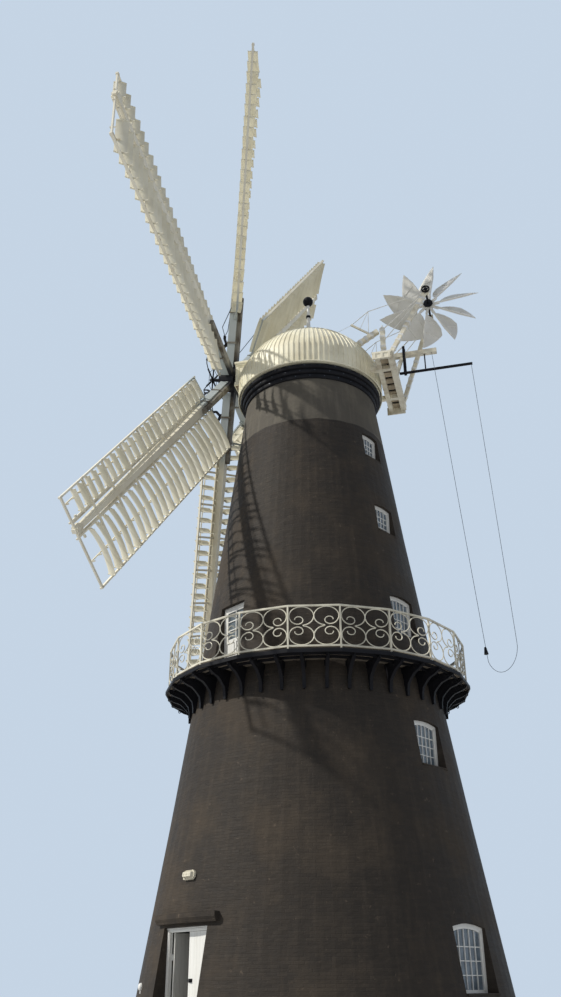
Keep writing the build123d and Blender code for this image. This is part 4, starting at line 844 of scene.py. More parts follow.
def scroll_line(start, heading, bends, step=14):
    """Points of a bar bent through (turn in degrees, first radius, last radius) in order."""
    point = Vector(start)
    line = [point.copy()]
    heading = radians(heading)
    for turn, first, last in bends:
        count = max(1, round(abs(turn) / step))
        for index in range(count):
            radius = first + (last - first) * (index + 0.5) / count
            swing = radians(turn / count)
            heading += swing / 2
            point = point + Vector((cos(heading), sin(heading))) * radius * abs(swing)
            heading += swing / 2
            line.append(point.copy())
    return line


# In a unit circle: middle (1, 1), the post at x = 0, mid-height at y = 0
C_SCROLL = scroll_line((1.17, 0.015), 10, [(300, 1, 1), (40, 0.7, 0.6), (120, 0.45, 0.4), (170, 0.38, 0.26)])
bay_turn = 2 * pi / GALLERY_BAYS
rail_apothem = RAIL_RADIUS * cos(bay_turn / 2)
bay_half = RAIL_RADIUS * sin(bay_turn / 2) - POST_SIZE / 2
panel_low = DECK_TOP + RAIL_LIFT + RAIL_DEPTH
panel_high = DECK_TOP + RAIL_LIFT + RAIL_HEIGHT - RAIL_DEPTH
scale_x = (bay_half - SCROLL_BAR / 2) / 2
scale_y = (panel_high - panel_low - SCROLL_BAR) / 4
print("scroll circles", round(2 * scale_x, 3), "by", round(2 * scale_y, 3), "m")

# %% [markdown]
# A foundry casts one panel and repeats it. In the same way one scroll line is swept four times
# in each bay's own frame, mirrored left and right, up and down. An array would need the bays to
# be exact copies in a row; a frame for each bay sets them on the ring. The bar's section is a
# flat hexagon, which gives the iron a lit ridge.

# %% Twenty bays of scrolls
scrolls = Stock()
section = [(-SCROLL_BAR / 2, -0.009), (0, -0.013), (SCROLL_BAR / 2, -0.009),
           (SCROLL_BAR / 2, 0.009), (0, 0.013), (-SCROLL_BAR / 2, 0.009)]
for bay in range(GALLERY_BAYS):
    centre = GALLERY_PHASE + (bay + 0.5) * 360 / GALLERY_BAYS
    home = wall_frame(centre, rail_apothem, (panel_low + panel_high) / 2)
    for left in (-1, 1):
        scrolls.place = home
        for up in (-1, 1):
            line = [(left * (-bay_half + SCROLL_BAR / 2 + p.x * scale_x), up * (SCROLL_BAR / 4 + p.y * scale_y), 0)
                    for p in C_SCROLL]
            scrolls.sweep(line, section)
        scrolls.place = home @ Matrix.Translation((line[0][0], 0, 0))
        scrolls.turned([(0.003, -0.026), (0.02, -0.018), (0.027, 0), (0.02, 0.018), (0.003, 0.026)], 8)
piece("gallery_scrolls", scrolls, gallery_cream, "tower", smooth=50)

# %% [markdown]
# ## Sails
# A patent sail is a tapered whip with crossbars, two outer rails and stiles, and between them
# curved shutters that open like a blind. They twist from root to tip. Six sails modelled where
# they stand would be hard to keep alike, so their pieces are made in the sail's own frame (x out
# along the whip, y to the trailing side, z to the rear) and then turned to each sail's place.

# %% The sail's frame
SHAFT_TILT = 11.65
SHAFT_HEIGHT = 20.309
HUB_REACH = 3.1
SAIL_COUNT = 6
SAIL_PHASE = 112.6
SAIL_REACH = 11.506
SAIL_HEEL = 2.206
SAIL_TIP = SAIL_REACH - 0.09
LEADING_WIDTH = 0.986
TRAILING_WIDTH = 1.749
WEATHER_HEEL = 23.1
WEATHER_TIP = 15.5
WHIP_SETBACK = 0.1
WHIP_SIZE = 0.28
WHIP_TIP = 0.13
WHIP_STRAIGHT = 3.1
SAIL_BAYS = 8
SAIL_BAR = (0.07, 0.045)
RAIL_SECTION = (0.05, 0.075)
RAIL_PAST = 0.06
STILE_SECTION = (0.05, 0.04)
STILE_OFFSET = 0.235
SHUTTERS_PER_BAY = 3
SHUTTER_DEPTH = 0.35
SHUTTER_OPEN = (90, 66, 118, 118, 90, 90)
SHUTTER_GAP = 0.006

tilt = radians(SHAFT_TILT)
SHAFT_DOWN = Vector((0, cos(tilt), -sin(tilt)))
HUB = Vector((0, 0, SHAFT_HEIGHT)) - SHAFT_DOWN * HUB_REACH


def sail_place(number):
    return frame_at(HUB, (-1, 0, 0), SHAFT_DOWN) @ Matrix.Rotation(
        radians(SAIL_PHASE + number * 360 / SAIL_COUNT), 4, "Z")


def weather(r):
    """Angle of the sail's surface at r, which gives the sail its twist."""
    share = (r - SAIL_HEEL) / (SAIL_REACH - SAIL_HEEL)
    return radians(WEATHER_HEEL + (WEATHER_TIP - WEATHER_HEEL) * share)


def sail_point(r, across, back=0):
    w = weather(r)
    return Vector((r, across * cos(w) - back * sin(w), WHIP_SETBACK + across * sin(w) + back * cos(w)))


def chord(r):
    return Vector((0, cos(weather(r)), sin(weather(r))))


RAIL_START = SAIL_HEEL - RAIL_PAST
RAIL_END = SAIL_TIP + RAIL_PAST
TRAILING_RAIL = TRAILING_WIDTH - RAIL_SECTION[0] / 2
LEADING_RAIL = LEADING_WIDTH - RAIL_SECTION[0] / 2
STILE_FORWARD = 0.0445
# Side of the whip, its rail, and how far across the bank its shutter bar runs
BANKS = ((1, TRAILING_RAIL, 0.55), (-1, LEADING_RAIL, 0.6))


def rail_at(r, across, forward=0):
    """Where a straight rail crosses the sail's surface at r, measured from the whip's line."""
    low = sail_point(RAIL_START, across, -forward)
    high = sail_point(RAIL_END, across, -forward)
    centre = low + (high - low) * ((r - RAIL_START) / (RAIL_END - RAIL_START))
    return abs((centre - Vector((r, 0, WHIP_SETBACK))).dot(chord(r)))


BAY_LENGTH = (SAIL_TIP - SAIL_HEEL) / SAIL_BAYS
BAR_PLACES = [SAIL_HEEL + bay * BAY_LENGTH for bay in range(SAIL_BAYS + 1)]
SHUTTER_PITCH = (BAY_LENGTH - SAIL_BAR[0]) / SHUTTERS_PER_BAY
SHUTTER_PLACES = [BAR_PLACES[bay] + SAIL_BAR[0] / 2 + (shutter + 0.5) * SHUTTER_PITCH
                  for bay in range(SAIL_BAYS) for shutter in range(SHUTTERS_PER_BAY)]
print("sail bays", round(BAY_LENGTH, 3), "m, shutters", round(SHUTTER_PITCH, 3), "m apart")

# %% [markdown]
# The shutters are canvas on a light wooden frame, painted cream, cambered like a barrel stave.
# They are the brightest part of the mill, with grey rain marks and cloudy stains. The threads
# are far too fine to model, so a small noise stands for the weave in the bump, and one random
# number for each shutter keeps neighbours from looking alike.

# %% Shutter finish
canvas = Finish("painted_canvas", 0.55, sheen_weight=0.05)
weave = canvas.place.noise(160, 2)
cloud = canvas.place.noise(1.1, 4, 0.6).ramp(0.35, 0.7)
spots = canvas.place.noise(7, 4, 0.65).ramp(0.58, 0.75)
single = canvas.place.node("ShaderNodeNewGeometry", result="Random Per Island")
cloth = (cloud * 0.45 + spots * 0.35 + single * 0.3).tint((0.90, 0.87, 0.73), (0.70, 0.66, 0.51))
canvas.feed("Base Color", cloth)
canvas.feed("Roughness", 0.48 + cloud * 0.2)
canvas.bump(weave * 0.4 + canvas.place.noise(14, 3) * 0.6, 0.0015)
print("canvas of the shutters ready")

# %% [markdown]
# Each sail has two banks of twenty-four shutters. An array modifier would repeat one shape, but
# the sail tapers and twists, so a function makes each shutter from stile to rail at its own
# place. Its skin bows between the ends and is cambered across. The banks stand open by the angle
# that each sail shows, and a few shutters are missing.

# %% One sail's shutters
SHUTTER_CAMBER = 0.03
SHUTTER_BOW = {1: 0.09, -1: 0.03}
SHUTTER_BOARD = 0.009
CAMBER_STEPS = 6
BOW_STEPS = 6


def shutter(stock, r, inner, outer, side, opened):
    """One cambered shutter with a rim at each end, between two distances from the whip."""
    w = weather(r)
    back = Vector((0, -sin(w), cos(w)))
    normal = Vector((1, 0, 0)) * sin(opened) + back * cos(opened)
    low, high = sorted((side * inner, side * outer))
    stock.place = frame_at(sail_point(r, 0), chord(r), normal)
    half = SHUTTER_DEPTH / 2
    camber = [(-half + 2 * half * i / CAMBER_STEPS) for i in range(CAMBER_STEPS + 1)]
    rise = [SHUTTER_CAMBER * (1 - (v / half) ** 2) - SHUTTER_CAMBER / 2 for v in camber]
    section = list(zip(camber, rise)) + [(v, h + SHUTTER_BOARD) for v, h in zip(camber[::-1], rise[::-1])]
    bow = SHUTTER_BOW[side] * (outer - inner) / 1.4
    line = [(low + (high - low) * s / BOW_STEPS, 0, -bow * (1 - (2 * s / BOW_STEPS - 1) ** 2))
            for s in range(BOW_STEPS + 1)]
    stock.sweep(line, section, (0, 1, 0))
    rim = [(v, h - 0.008) for v, h in zip(camber, rise)] + [(v, h + 0.02) for v, h in zip(camber[::-1], rise[::-1])]
    for edge, inward in ((low, 0.03), (high, -0.03)):
        stock.sweep([(edge, 0, 0), (edge + inward, 0, 0)], rim, (0, 1, 0))


# Shutters that are missing: (sail, side, place along the sail)
LOST = {(2, 1, 23), (3, 1, 23), (3, -1, 23), (1, -1, 4)}


def sail_slats(sail):
    slats = Stock()
    opened = radians(SHUTTER_OPEN[sail - 1])
    for place, r in enumerate(SHUTTER_PLACES):
        for side, rail, _ in BANKS:
            if (sail, side, place) in LOST:
                continue
            inner = rail_at(r, side * STILE_OFFSET, STILE_FORWARD) + STILE_SECTION[0] / 2 + 0.002
            outer = rail_at(r, side * rail) - RAIL_SECTION[0] / 2 - SHUTTER_GAP - 0.002
            shutter(slats, r, inner, outer, side, opened)
    return slats


print("shutters on a sail", 2 * len(SHUTTER_PLACES), "open", SHUTTER_OPEN, "degrees")

# %% [markdown]
# Along each bank runs a thin shutter bar, joined to every shutter by a small tab, so that all of
# them turn together. Clamps bind the rails at each crossbar, and a block caps the whip's tip.
# Only the shutters differ from sail to sail, so these fittings are collected once and made into
# a piece for each sail.

# %% Shutter bars, clamps and tips
BAR_LIFT = -0.16
CLAMP_HALF = 0.029
TIP_BLOCK = (SAIL_REACH - 0.32, SAIL_REACH - 0.06)


def bank_line(r, side, rail, share):
    """Inner end of a shutter, and where its shutter bar passes."""
    inner = rail_at(r, side * STILE_OFFSET, STILE_FORWARD) + 0.03
    outer = rail_at(r, side * rail) - 0.04
    return inner, side * (inner + (outer - inner) * share)


fittings = Stock()
irons = Stock()
for side, rail, share in BANKS:
    line = []
    for r in SHUTTER_PLACES:
        inner, middle = bank_line(r, side, rail, share)
        line.append(sail_point(r, middle, BAR_LIFT))
        foot = sail_point(r, middle, -0.03) + Vector((-0.03, 0, 0))
        fittings.bar(foot, line[-1] + (line[-1] - foot).normalized() * 0.02, 0.04, 0.014, chord(r))
        fittings.bar(sail_point(r, side * (inner - 0.01), 0.02), sail_point(r, side * (inner + 0.07), 0.02),
                     0.06, 0.05, (1, 0, 0))
    fittings.sweep(line, flat(0.016, 0.016), (0, 1, 0.3))
    for place in BAR_PLACES:
        reach = side * rail_at(place, side * rail)
        irons.place = frame_at(sail_point(place, reach), (1, 0, 0), sail_point(0, 0, 1) - sail_point(0, 0, 0))
        for low in (-0.046, 0.038):
            irons.block((-0.04, -CLAMP_HALF, low), (0.04, CLAMP_HALF, low + 0.008))
        irons.rod([(0, 0, -0.056), (0, 0, 0.056)], 0.010, 6)
    fillet = [sail_point(r, side * 0.180, -STILE_FORWARD) for r in (2.52, SAIL_TIP)]
    fittings.bar(*fillet, 0.056, 0.018, chord(6))
tip_half = WHIP_TIP / 2 + 0.03
fittings.block((TIP_BLOCK[0], -tip_half, WHIP_SETBACK - tip_half), (TIP_BLOCK[1], tip_half, WHIP_SETBACK + tip_half))
irons.place = Matrix()
for place in BAR_PLACES:
    share = max(0, (place - WHIP_STRAIGHT) / (SAIL_REACH - WHIP_STRAIGHT))
    front = WHIP_SETBACK - (WHIP_SIZE + (WHIP_TIP - WHIP_SIZE) * share) / 2
    for offset in (-0.07, 0.07):
        irons.rod([(place + offset, 0, front - 0.022), (place + offset, 0, front + 0.01)], 0.014, 6)

for number in range(SAIL_COUNT):
    home = sail_place(number)
    for name, stock, finish, slot, hidden in (
            ("slats", sail_slats(number + 1), canvas, "sail_cloth", (f"sail_{number + 1}_shutters",)),
            ("rods", fittings, cream_stage, "cream_timber", ()),
            ("clamps", irons, cream_stage, "cream_timber", ())):
        piece(f"sail_{number + 1}_{name}", stock, finish, "sails", hidden, place=home)

# %% [markdown]
# At the hub a striking rod comes through the hollow windshaft. Its six-armed spider pushes a
# link to a bell crank on each whip, and the crank moves that sail's two shutter bars. The parts
# are small and black, and make the dark tangle in front of the hub. One sixth of them is worked
# out and turned six times, since every arm has the same parts.

# %% Striking gear at the hub
SPIDER_TIP = (0.60, 0, -0.54)
CRANK_PIN = (1.16, 0, -0.42)
LINK_RING = 0.42
WHIP_FRONT = WHIP_SETBACK - WHIP_SIZE / 2
first = SHUTTER_PLACES[0]
bar_ends = [sail_point(first, bank_line(first, *bank)[1], BAR_LIFT) for bank in BANKS]
cranks = Stock()
for number in range(SAIL_COUNT):
    cranks.place = Matrix.Rotation(radians(number * 360 / SAIL_COUNT), 4, "Z")
    for plate in (-0.05, 0.05):
        for arm, half in ((((1.14, -0.30), (1.16, -0.42)), 0.035), (((1.50, -0.22), (1.62, -0.22)), 0.03)):
            cranks.sweep([(x, plate, z) for x, z in ((1.30, -0.13), *arm)], flat(0.012, half), (0, 1, 0))
    cranks.block((1.22, -0.08, WHIP_FRONT - 0.07), (1.38, 0.08, WHIP_FRONT - 0.001))
    cranks.rod([(1.30, -0.09, -0.13), (1.30, 0.09, -0.13)], 0.022)
    cranks.rod([(1.16, -0.075, -0.42), (1.16, 0.075, -0.42)], 0.018)
    cranks.rod([SPIDER_TIP, (0.9, 0, -0.50), CRANK_PIN], 0.017)
    cranks.turned([(0.012, -0.575), (0.035, -0.565), (0.035, -0.505), (0.012, -0.495)], 8)
    for end in bar_ends:
        cranks.rod([(1.60, 0, -0.22), (1.85, end.y * 0.35, -0.20), end], 0.013, 6)
    cranks.rod([(LINK_RING * cos(a), LINK_RING * sin(a), -0.535) for a in (0, pi / 3)], 0.009, 6)
cranks.place = Matrix()
cranks.turned([(0.02, -0.66), (0.05, -0.64), (0.075, -0.585), (0.075, -0.50), (0.06, -0.49)], 16)
piece("hub_cranks", cranks, black_iron, "sails", place=sail_place(0))

# %% [markdown]
# The sails' timbers are cream paint over softwood, grey near the hub and streaked along the
# grain. The grain has to follow timbers that point six ways. Six finishes could do that; one
# noise, worked out in the distance from the hub and the angle round it, does it for all of
# them. The iron cross is black at the hub and fades to a rubbed grey brown along its arms.

# %% Sail frame paint
def from_hub(made):
    """Across, along and up from the hub, and the distance from its axis."""
    across, along, up = made.place.node("ShaderNodeVectorMath", {"operation": "SUBTRACT"},
                                        {0: made.place, 1: tuple(HUB)}).parts()
    return across, along, up, across.sum("SQRT", across * across + up * up)


sail_cream = Finish("sail_cream", 0.45)
across, along, up, radius = from_hub(sail_cream)
swing = up.sum("ARCTAN2", up, across)
fibres = sail_cream.join(radius * 1.2, swing * radius * 16, along * 16).noise(2.0, 4, 0.6)
weathered = sail_cream.place.noise(1.2, 5, 0.65).ramp(0.42, 0.7)
root_grey = radius.ramp(3.4, 2.6)
timber = (weathered * 0.4 + (fibres - 0.5) * 0.5).tint((0.92, 0.88, 0.74), (0.66, 0.57, 0.40))
sail_cream.feed("Base Color", root_grey.tint(timber, (0.42, 0.46, 0.46)))
sail_cream.feed("Roughness", 0.42 + weathered * 0.2)
sail_cream.bump(fibres, 0.003)
paint(sail_cream, *(f"sail_{number + 1}_frame" for number in range(SAIL_COUNT)))

cross_iron = Finish("cross_iron", 0.55, specular_ior_level=0.22)
across, along, up, radius = from_hub(cross_iron)
blotch = cross_iron.place.noise(2.4, 5, 0.65).ramp(0.40, 0.65)
faded = blotch.tint((0.25, 0.235, 0.20), (0.10, 0.080, 0.060))
cross_iron.feed("Base Color", (radius + blotch * 0.3).ramp(0.75, 1.15).tint((0.020, 0.020, 0.024), faded))
cross_iron.feed("Roughness", 0.45 + blotch * 0.2)
cross_iron.bump(cross_iron.place.noise(28, 3, 0.6), 0.0015)
paint(cross_iron, "iron_cross")

# %% [markdown]
# ## The cap
# The cap is a round skirt under an ogee dome, which swells out and then curves in to a narrow
# neck. The line could be drawn freehand, but two circles, each through three points, give the
# line that the solid dome has.

# %% The cap's outline
CURB_TOP = TOWER_HEIGHT + 0.46
SKIRT_BOTTOM = CURB_TOP + 0.03
SKIRT_TOP = SKIRT_BOTTOM + 0.79
CAP_RADIUS = 2.45
DOME_SHOULDER = (1.95, 0.86)
DOME_WAIST = (1.15, 1.51)
DOME_NECK = (0.56, 1.83)
DOME_TOP = (0.13, 2.29)


def arc_through(start, middle, end, steps):
    """Points on the circle through three points, the first left out."""
    a, b, c = (Vector(p) for p in (start, middle, end))
    d = 2 * (a.x * (b.y - c.y) + b.x * (c.y - a.y) + c.x * (a.y - b.y))
    ux = (a.dot(a) * (b.y - c.y) + b.dot(b) * (c.y - a.y) + c.dot(c) * (a.y - b.y)) / d
    uy = (a.dot(a) * (c.x - b.x) + b.dot(b) * (a.x - c.x) + c.dot(c) * (b.x - a.x)) / d
    centre = Vector((ux, uy))
    first = math.atan2(a.y - uy, a.x - ux)
    last = math.atan2(c.y - uy, c.x - ux)
    swing = (last - first + pi) % (2 * pi) - pi
    reach = (a - centre).length
    return [(ux + reach * cos(first + swing * s / steps), uy + reach * sin(first + swing * s / steps))
            for s in range(1, steps + 1)]


outline = [(CAP_RADIUS, SKIRT_BOTTOM), (CAP_RADIUS, SKIRT_BOTTOM + 0.4), (CAP_RADIUS, SKIRT_TOP)]
outline += [(r, SKIRT_TOP + h) for r, h in arc_through((CAP_RADIUS, 0), DOME_SHOULDER, DOME_WAIST, 10)]
outline += [(r, SKIRT_TOP + h) for r, h in arc_through(DOME_WAIST, DOME_NECK, DOME_TOP, 6)]
print("cap outline", len(outline), "points, up to", round(outline[-1][1], 3), "m")

# %% [markdown]
# The dome is boarded and covered, with narrow battens over the joints from the skirt to the top.
# A bump map would leave the silhouette smooth, so the dome is one turned shell that steps out at
# each batten. Its faces are left out where the front box comes through.

# %% Ribbed dome
BOX_HALF, BOX_FRONT, BOX_LOW, BOX_HIGH = 0.62, 2.52, 20.22, 21.18
RIBS = 90
RIB_WIDTH = 0.3
RIB_HEIGHT = 0.022
dome = Stock()
columns = [(2 * pi * (rib + share) / RIBS, proud) for rib in range(RIBS)
           for share, proud in ((0, 0), (1 - RIB_WIDTH, 0), (1 - RIB_WIDTH + 0.03, 1), (0.97, 1))]
corners = []
for r, z in outline:
    rib_height = RIB_HEIGHT * min(1, r / 1.2)
    corners += [((r + proud * rib_height) * cos(a), (r + proud * rib_height) * sin(a), z) for a, proud in columns]
faces = []
for ring in range(len(outline) - 1):
    for column in range(len(columns)):
        beside = (column + 1) % len(columns)
        face = [ring * len(columns) + column, ring * len(columns) + beside,
                (ring + 1) * len(columns) + beside, (ring + 1) * len(columns) + column]
        middle = sum((Vector(corners[index]) for index in face), Vector()) / 4
        inside_box = abs(middle.x) < BOX_HALF - 0.01 and middle.y < -1 and BOX_LOW + 0.03 < middle.z < BOX_HIGH - 0.01
        if not inside_box:
            faces.append(face)
faces.append([(len(outline) - 1) * len(columns) + column for column in range(len(columns))])
dome.add(corners, faces)
piece("ribbed_dome", dome, cream_cap, "cap", ("cap_dome",), smooth=24)

# %% [markdown]
# The cap turns on a black curb of three stepped rings on top of the wall. Stacked cylinders
# would have knife edges, so one outline with small chamfers is carried round as a closed ring.
# The bolts are short rods set out by angle, a little further round on each step.

# %% Curb rings and bolts
# Radius and height of each step, from the lowest up
CURB_STEPS = ((2.25, 0.16), (2.32, 0.15), (2.39, 0.15))
CURB_BOLTS = 30
curb_outline = [(1.83, TOWER_HEIGHT), (1.83, CURB_TOP)]
curb = Stock()
bolts = Stock()
top = CURB_TOP
for step, (radius, tall) in reversed(list(enumerate(CURB_STEPS))):
    foot = top - tall
    curb_outline += [(radius - 0.02, top), (radius, top - 0.02), (radius, foot + 0.035),
                     (radius - 0.012, foot + 0.012), (radius - 0.03, foot)]
    bolt_height = Vector((0, 0, foot + 0.085))
    for number in range(CURB_BOLTS):
        out = Matrix.Rotation(radians(number * 360 / CURB_BOLTS + step * 4), 3, "Z") @ Vector((1, 0, 0))
        bolts.rod([out * (radius - 0.01) + bolt_height, out * (radius + 0.012) + bolt_height], 0.017, 6)
    top = foot
curb.turned(curb_outline, 120, True)
piece("curb_rings", curb, black_iron, "tower", ("curb",), smooth=40)
piece("curb_bolts", bolts, dull_steel, "tower")

# %% [markdown]
# A bead runs round the foot of the cap's skirt, and the box that shields the windshaft has
# stepped mouldings. A joiner builds such mouldings from strips of different thickness, and so
# they are made here: one table gives each strip's height and how far it stands out.

# %% Skirt bead and front box mouldings
SOFFIT_BOARDS = 6
# Lowest and highest point of each moulding, and how far it stands out at the sides and in front
BOX_MOULDINGS = ((21.10, 21.18, 0.07, 0.03), (21.04, 21.10, 0.045, 0), (20.98, 21.04, 0.02, 0),
                 (20.60, 20.66, 0.025, 0), (20.28, 20.36, 0.03, 0.02), (20.20, 20.28, 0.055, 0.03))
trim = Stock()
trim.turned([(2.452, SKIRT_BOTTOM), (2.474, SKIRT_BOTTOM + 0.008), (2.482, SKIRT_BOTTOM + 0.03),
             (2.474, SKIRT_BOTTOM + 0.052), (2.452, SKIRT_BOTTOM + 0.06)], 120, True)
for side in (-1, 1):
    for low, high, side_out, front_out in BOX_MOULDINGS:
        trim.block((side * BOX_HALF, -BOX_FRONT - front_out, low), (side * (BOX_HALF + side_out), -1.6, high))
    for stile in (-2.46, -2.10):
        trim.block((side * BOX_HALF, stile - 0.05, 20.36), (side * (BOX_HALF + 0.018), stile + 0.05, 20.98))
for low, high, side_out, front_out in BOX_MOULDINGS:
    if front_out:
        trim.block((-BOX_HALF, -BOX_FRONT - front_out, low), (BOX_HALF, -BOX_FRONT, high))
piece("cap_trim", trim, cream_cap, "cap", bevel=0.004)
soffit = Stock()
for board in range(SOFFIT_BOARDS):
    left = -BOX_HALF + board * 0.2067
    soffit.block((left + 0.004, -BOX_FRONT, BOX_LOW - 0.022), (left + 0.2027, -1.75, BOX_LOW - 0.001))
piece("box_soffit", soffit, room_boards, "cap")

# %% [markdown]
# The finial is a post turned on a lathe, with a collar and a black ball. The helper works like
# the lathe: a list of radii and heights is carried round the axis. That takes few numbers and
# leaves clean rings of faces, which shade smoothly.

# %% Finial
DOME_TOP_Z = SKIRT_TOP + DOME_TOP[1]
FINIAL_HEIGHT = 1.12
FINIAL_BALL = 0.185
post = Stock()
collar = Stock()
post.place = collar.place = Matrix.Translation((0, 0, DOME_TOP_Z))
post.turned([(0.13, -0.01), (0.125, 0.03), (0.085, 0.06), (0.075, 0.12), (0.062, 0.5), (0.045, 0.9),
             (0.04, 1.02), (0.055, 1.06), (0.058, 1.09), (0.04, 1.12)], 24)
piece("finial_post", post, white_joinery, "cap", ("finial",))
collar.turned([(0.052, 0.54), (0.078, 0.56), (0.088, 0.60), (0.078, 0.64), (0.052, 0.66)], 24)
collar.turned([(0.05, 1.1), (0.062, 1.12), (0.05, 1.14)], 24)
ball_middle = FINIAL_HEIGHT + FINIAL_BALL * sin(radians(75))
collar.turned([(max(0.004, FINIAL_BALL * cos(radians(a))), ball_middle + FINIAL_BALL * sin(radians(a)))
               for a in range(-90, 91, 12)], 28)
piece("finial_globe", collar, black_iron, "cap", ("finial_ball",))

# %% [markdown]
# ## The fantail
# Ten boards set at a slant like the blades of a toy windmill keep the cap turned into the wind.
# Each has a straight edge on its arm, a point at the tip and a rounded outer edge, and is
# stiffened by two battens behind. It could be cut from a plane, but an outline with a thickness
# gives the board its edges, which show when it turns.

# %% Fan blades
FAN_HUB = Vector((0, 4.31, 22.86))
FAN_RADIUS = 1.78
FAN_BLADES = 10
FAN_PHASE = 5
FAN_PITCH = 40
BLADE_ROOT = 0.42
BLADE_CORNER = (0.92, 0.76)
BLADE_SWELL = 0.06
FAN_ARM = 0.055
EDGE_STEPS = 8


def fan_arm(number):
    """Ways out along an arm of the fan, and round its circle."""
    angle = radians(FAN_PHASE + number * 360 / FAN_BLADES)
    return Vector((0, cos(angle), sin(angle))), Vector((0, -sin(angle), cos(angle)))


blades = Stock()
for number in range(FAN_BLADES):
    out, round_way = fan_arm(number)
    blade_chord = round_way * cos(radians(FAN_PITCH)) - Vector((1, 0, 0)) * sin(radians(FAN_PITCH))
    blades.place = frame_at(FAN_HUB, out, out.cross(blade_chord))
    tip = Vector((FAN_RADIUS - 0.012, 0.12))
    corner = Vector(BLADE_CORNER)
    side = Vector((tip.y - corner.y, corner.x - tip.x)).normalized() * -1
    edge = [tip.lerp(corner, s / EDGE_STEPS) + side * BLADE_SWELL * (1 - (2 * s / EDGE_STEPS - 1) ** 2)
            for s in range(EDGE_STEPS + 1)]
    shape = [(BLADE_ROOT, -FAN_ARM / 2), (1.2, 0.0)] + [tuple(p) for p in edge]
    shape += [(0.68, 0.66), (0.5, 0.42), (BLADE_ROOT, 0.19)]
    blades.board(shape, -0.008, 0.008)
    blades.sweep([(0.13, 0, 0.03), (1.0, 0.01, 0.03), (1.55, 0.09, 0.03)], flat(0.03, 0.021), (0, 1, 0))
    for reach, top in ((0.62, 0.50), (1.1, 0.60)):
        blades.block((reach - 0.025, 0.03, 0.008), (reach + 0.025, top, 0.03))
piece("fan_boards", blades, fan_white, "fan", ("fan_blades",), smooth=30, bevel=0.003)

# %% [markdown]
# The fan's boards sit in sockets round a hub, whose axle carries a toothed wheel at one end. A
# plain disc would show against the sky, so the wheel is an outline with real teeth, given a
# thickness and left open in the middle but for its four spokes.

# %% Fan axle, hub and gear
spindle = Stock()
spindle.place = frame_at(FAN_HUB, (0, 1, 0), (1, 0, 0))
spindle.turned([(0.038, -0.92), (0.038, -0.14), (0.155, -0.135), (0.165, -0.10), (0.12, -0.085), (0.105, 0),
                (0.12, 0.085), (0.165, 0.10), (0.155, 0.135), (0.038, 0.14), (0.038, 0.92)], 24)
TEETH = 24
GEAR_FACES = (0.862, 0.918)
GEAR_BORE = 0.105
rim = [(r, 2 * pi * (tooth + share) / TEETH) for tooth in range(TEETH)
       for share, r in ((0, 0.13), (0.25, 0.148), (0.5, 0.148), (0.75, 0.13))]
corners = [(r * cos(a), r * sin(a), z) for z in GEAR_FACES for r, a in rim]
corners += [(GEAR_BORE * cos(a), GEAR_BORE * sin(a), z) for z in GEAR_FACES for r, a in rim]
count = len(rim)
faces = []
for i in range(count):
    j = (i + 1) % count
    faces += [(i, j, count + j, count + i), (2 * count + i, 3 * count + i, 3 * count + j, 2 * count + j),
              (i, 2 * count + i, 2 * count + j, j), (count + i, count + j, 3 * count + j, 3 * count + i)]
spindle.add(corners, faces)
for spoke in range(4):
    a = spoke * pi / 2 + 0.3
    inner, outer = ((r * cos(a), r * sin(a), 0.89) for r in (0.03, 0.11))
    spindle.bar(inner, outer, 0.026, 0.03, (0, 0, 1))
spindle.turned([(0.045, 0.85), (0.058, 0.86), (0.058, 0.918), (0.045, 0.919)], 16)
piece("fan_spindle", spindle, black_iron, "fan", ("fan_axle",))
sockets = Stock()
for number in range(FAN_BLADES):
    out, round_way = fan_arm(number)
    sockets.bar(FAN_HUB + out * 0.10, FAN_HUB + out * 0.40, 0.085, 0.075, (1, 0, 0))
piece("fan_sockets", sockets, fan_white, "fan", bevel=0.006)

# %% [markdown]
# ## Fan stage fittings
# White straps with a bolt through them bind the stage's timbers. Four thin plates would make
# one, but a slightly thicker bar round the timber looks the same and is one shape. They are
# small, yet without them the stage looks like a toy.

# %% Straps and bolts
PLANK_TOP = 19.94
BEAM_OFFSET = 0.9
UPRIGHT = 2.74
straps = Stock()
strap_bolts = Stock()


def strap(start, end, share, size, long=0.09):
    """A strap round a square timber, part of the way along it, with a bolt through it."""
    start, end = Vector(start), Vector(end)
    along = (end - start).normalized()
    middle = start.lerp(end, share)
    straps.bar(middle - along * long / 2, middle + along * long / 2, size + 0.026, size + 0.026, (1, 0, 0))
    side = (Vector((1, 0, 0)) - along * along.x).normalized()
    strap_bolts.rod([middle - side * (size / 2 + 0.024), middle + side * (size / 2 + 0.024)], 0.011, 6)


for side in (-1, 1):
    beam = side * BEAM_OFFSET
    foot = (side * 1.56, 3.015, PLANK_TOP - 0.065)
    head = (side * 0.74, 4.2625, 22.8125)
    for share in (0.10, 0.22, 0.30, 0.42, 0.50, 0.80, 0.9):
        strap(foot, head, share, 0.13)
    for lift in (0.12, 0.55, 0.75, 1.15, 1.42):
        strap((beam, UPRIGHT, PLANK_TOP), (beam, UPRIGHT, PLANK_TOP + 1.5), lift / 1.5, 0.16)
    for share in (0.45, 0.62, 0.8):
        strap((beam, 1.50, 20.72), (beam, 2.585, 21.38), share, 0.15)
    strap_bolts.block((beam - 0.05, UPRIGHT - 0.05, PLANK_TOP + 1.50), (beam + 0.05, UPRIGHT + 0.05, PLANK_TOP + 1.56))
    strap_bolts.rod([(beam, UPRIGHT, PLANK_TOP + 1.5), (beam, UPRIGHT, PLANK_TOP + 1.66)], 0.02, 8)
piece("timber_straps", straps, white_joinery, "cap", bevel=0.004)
piece("strap_bolts", strap_bolts, fan_white, "cap")

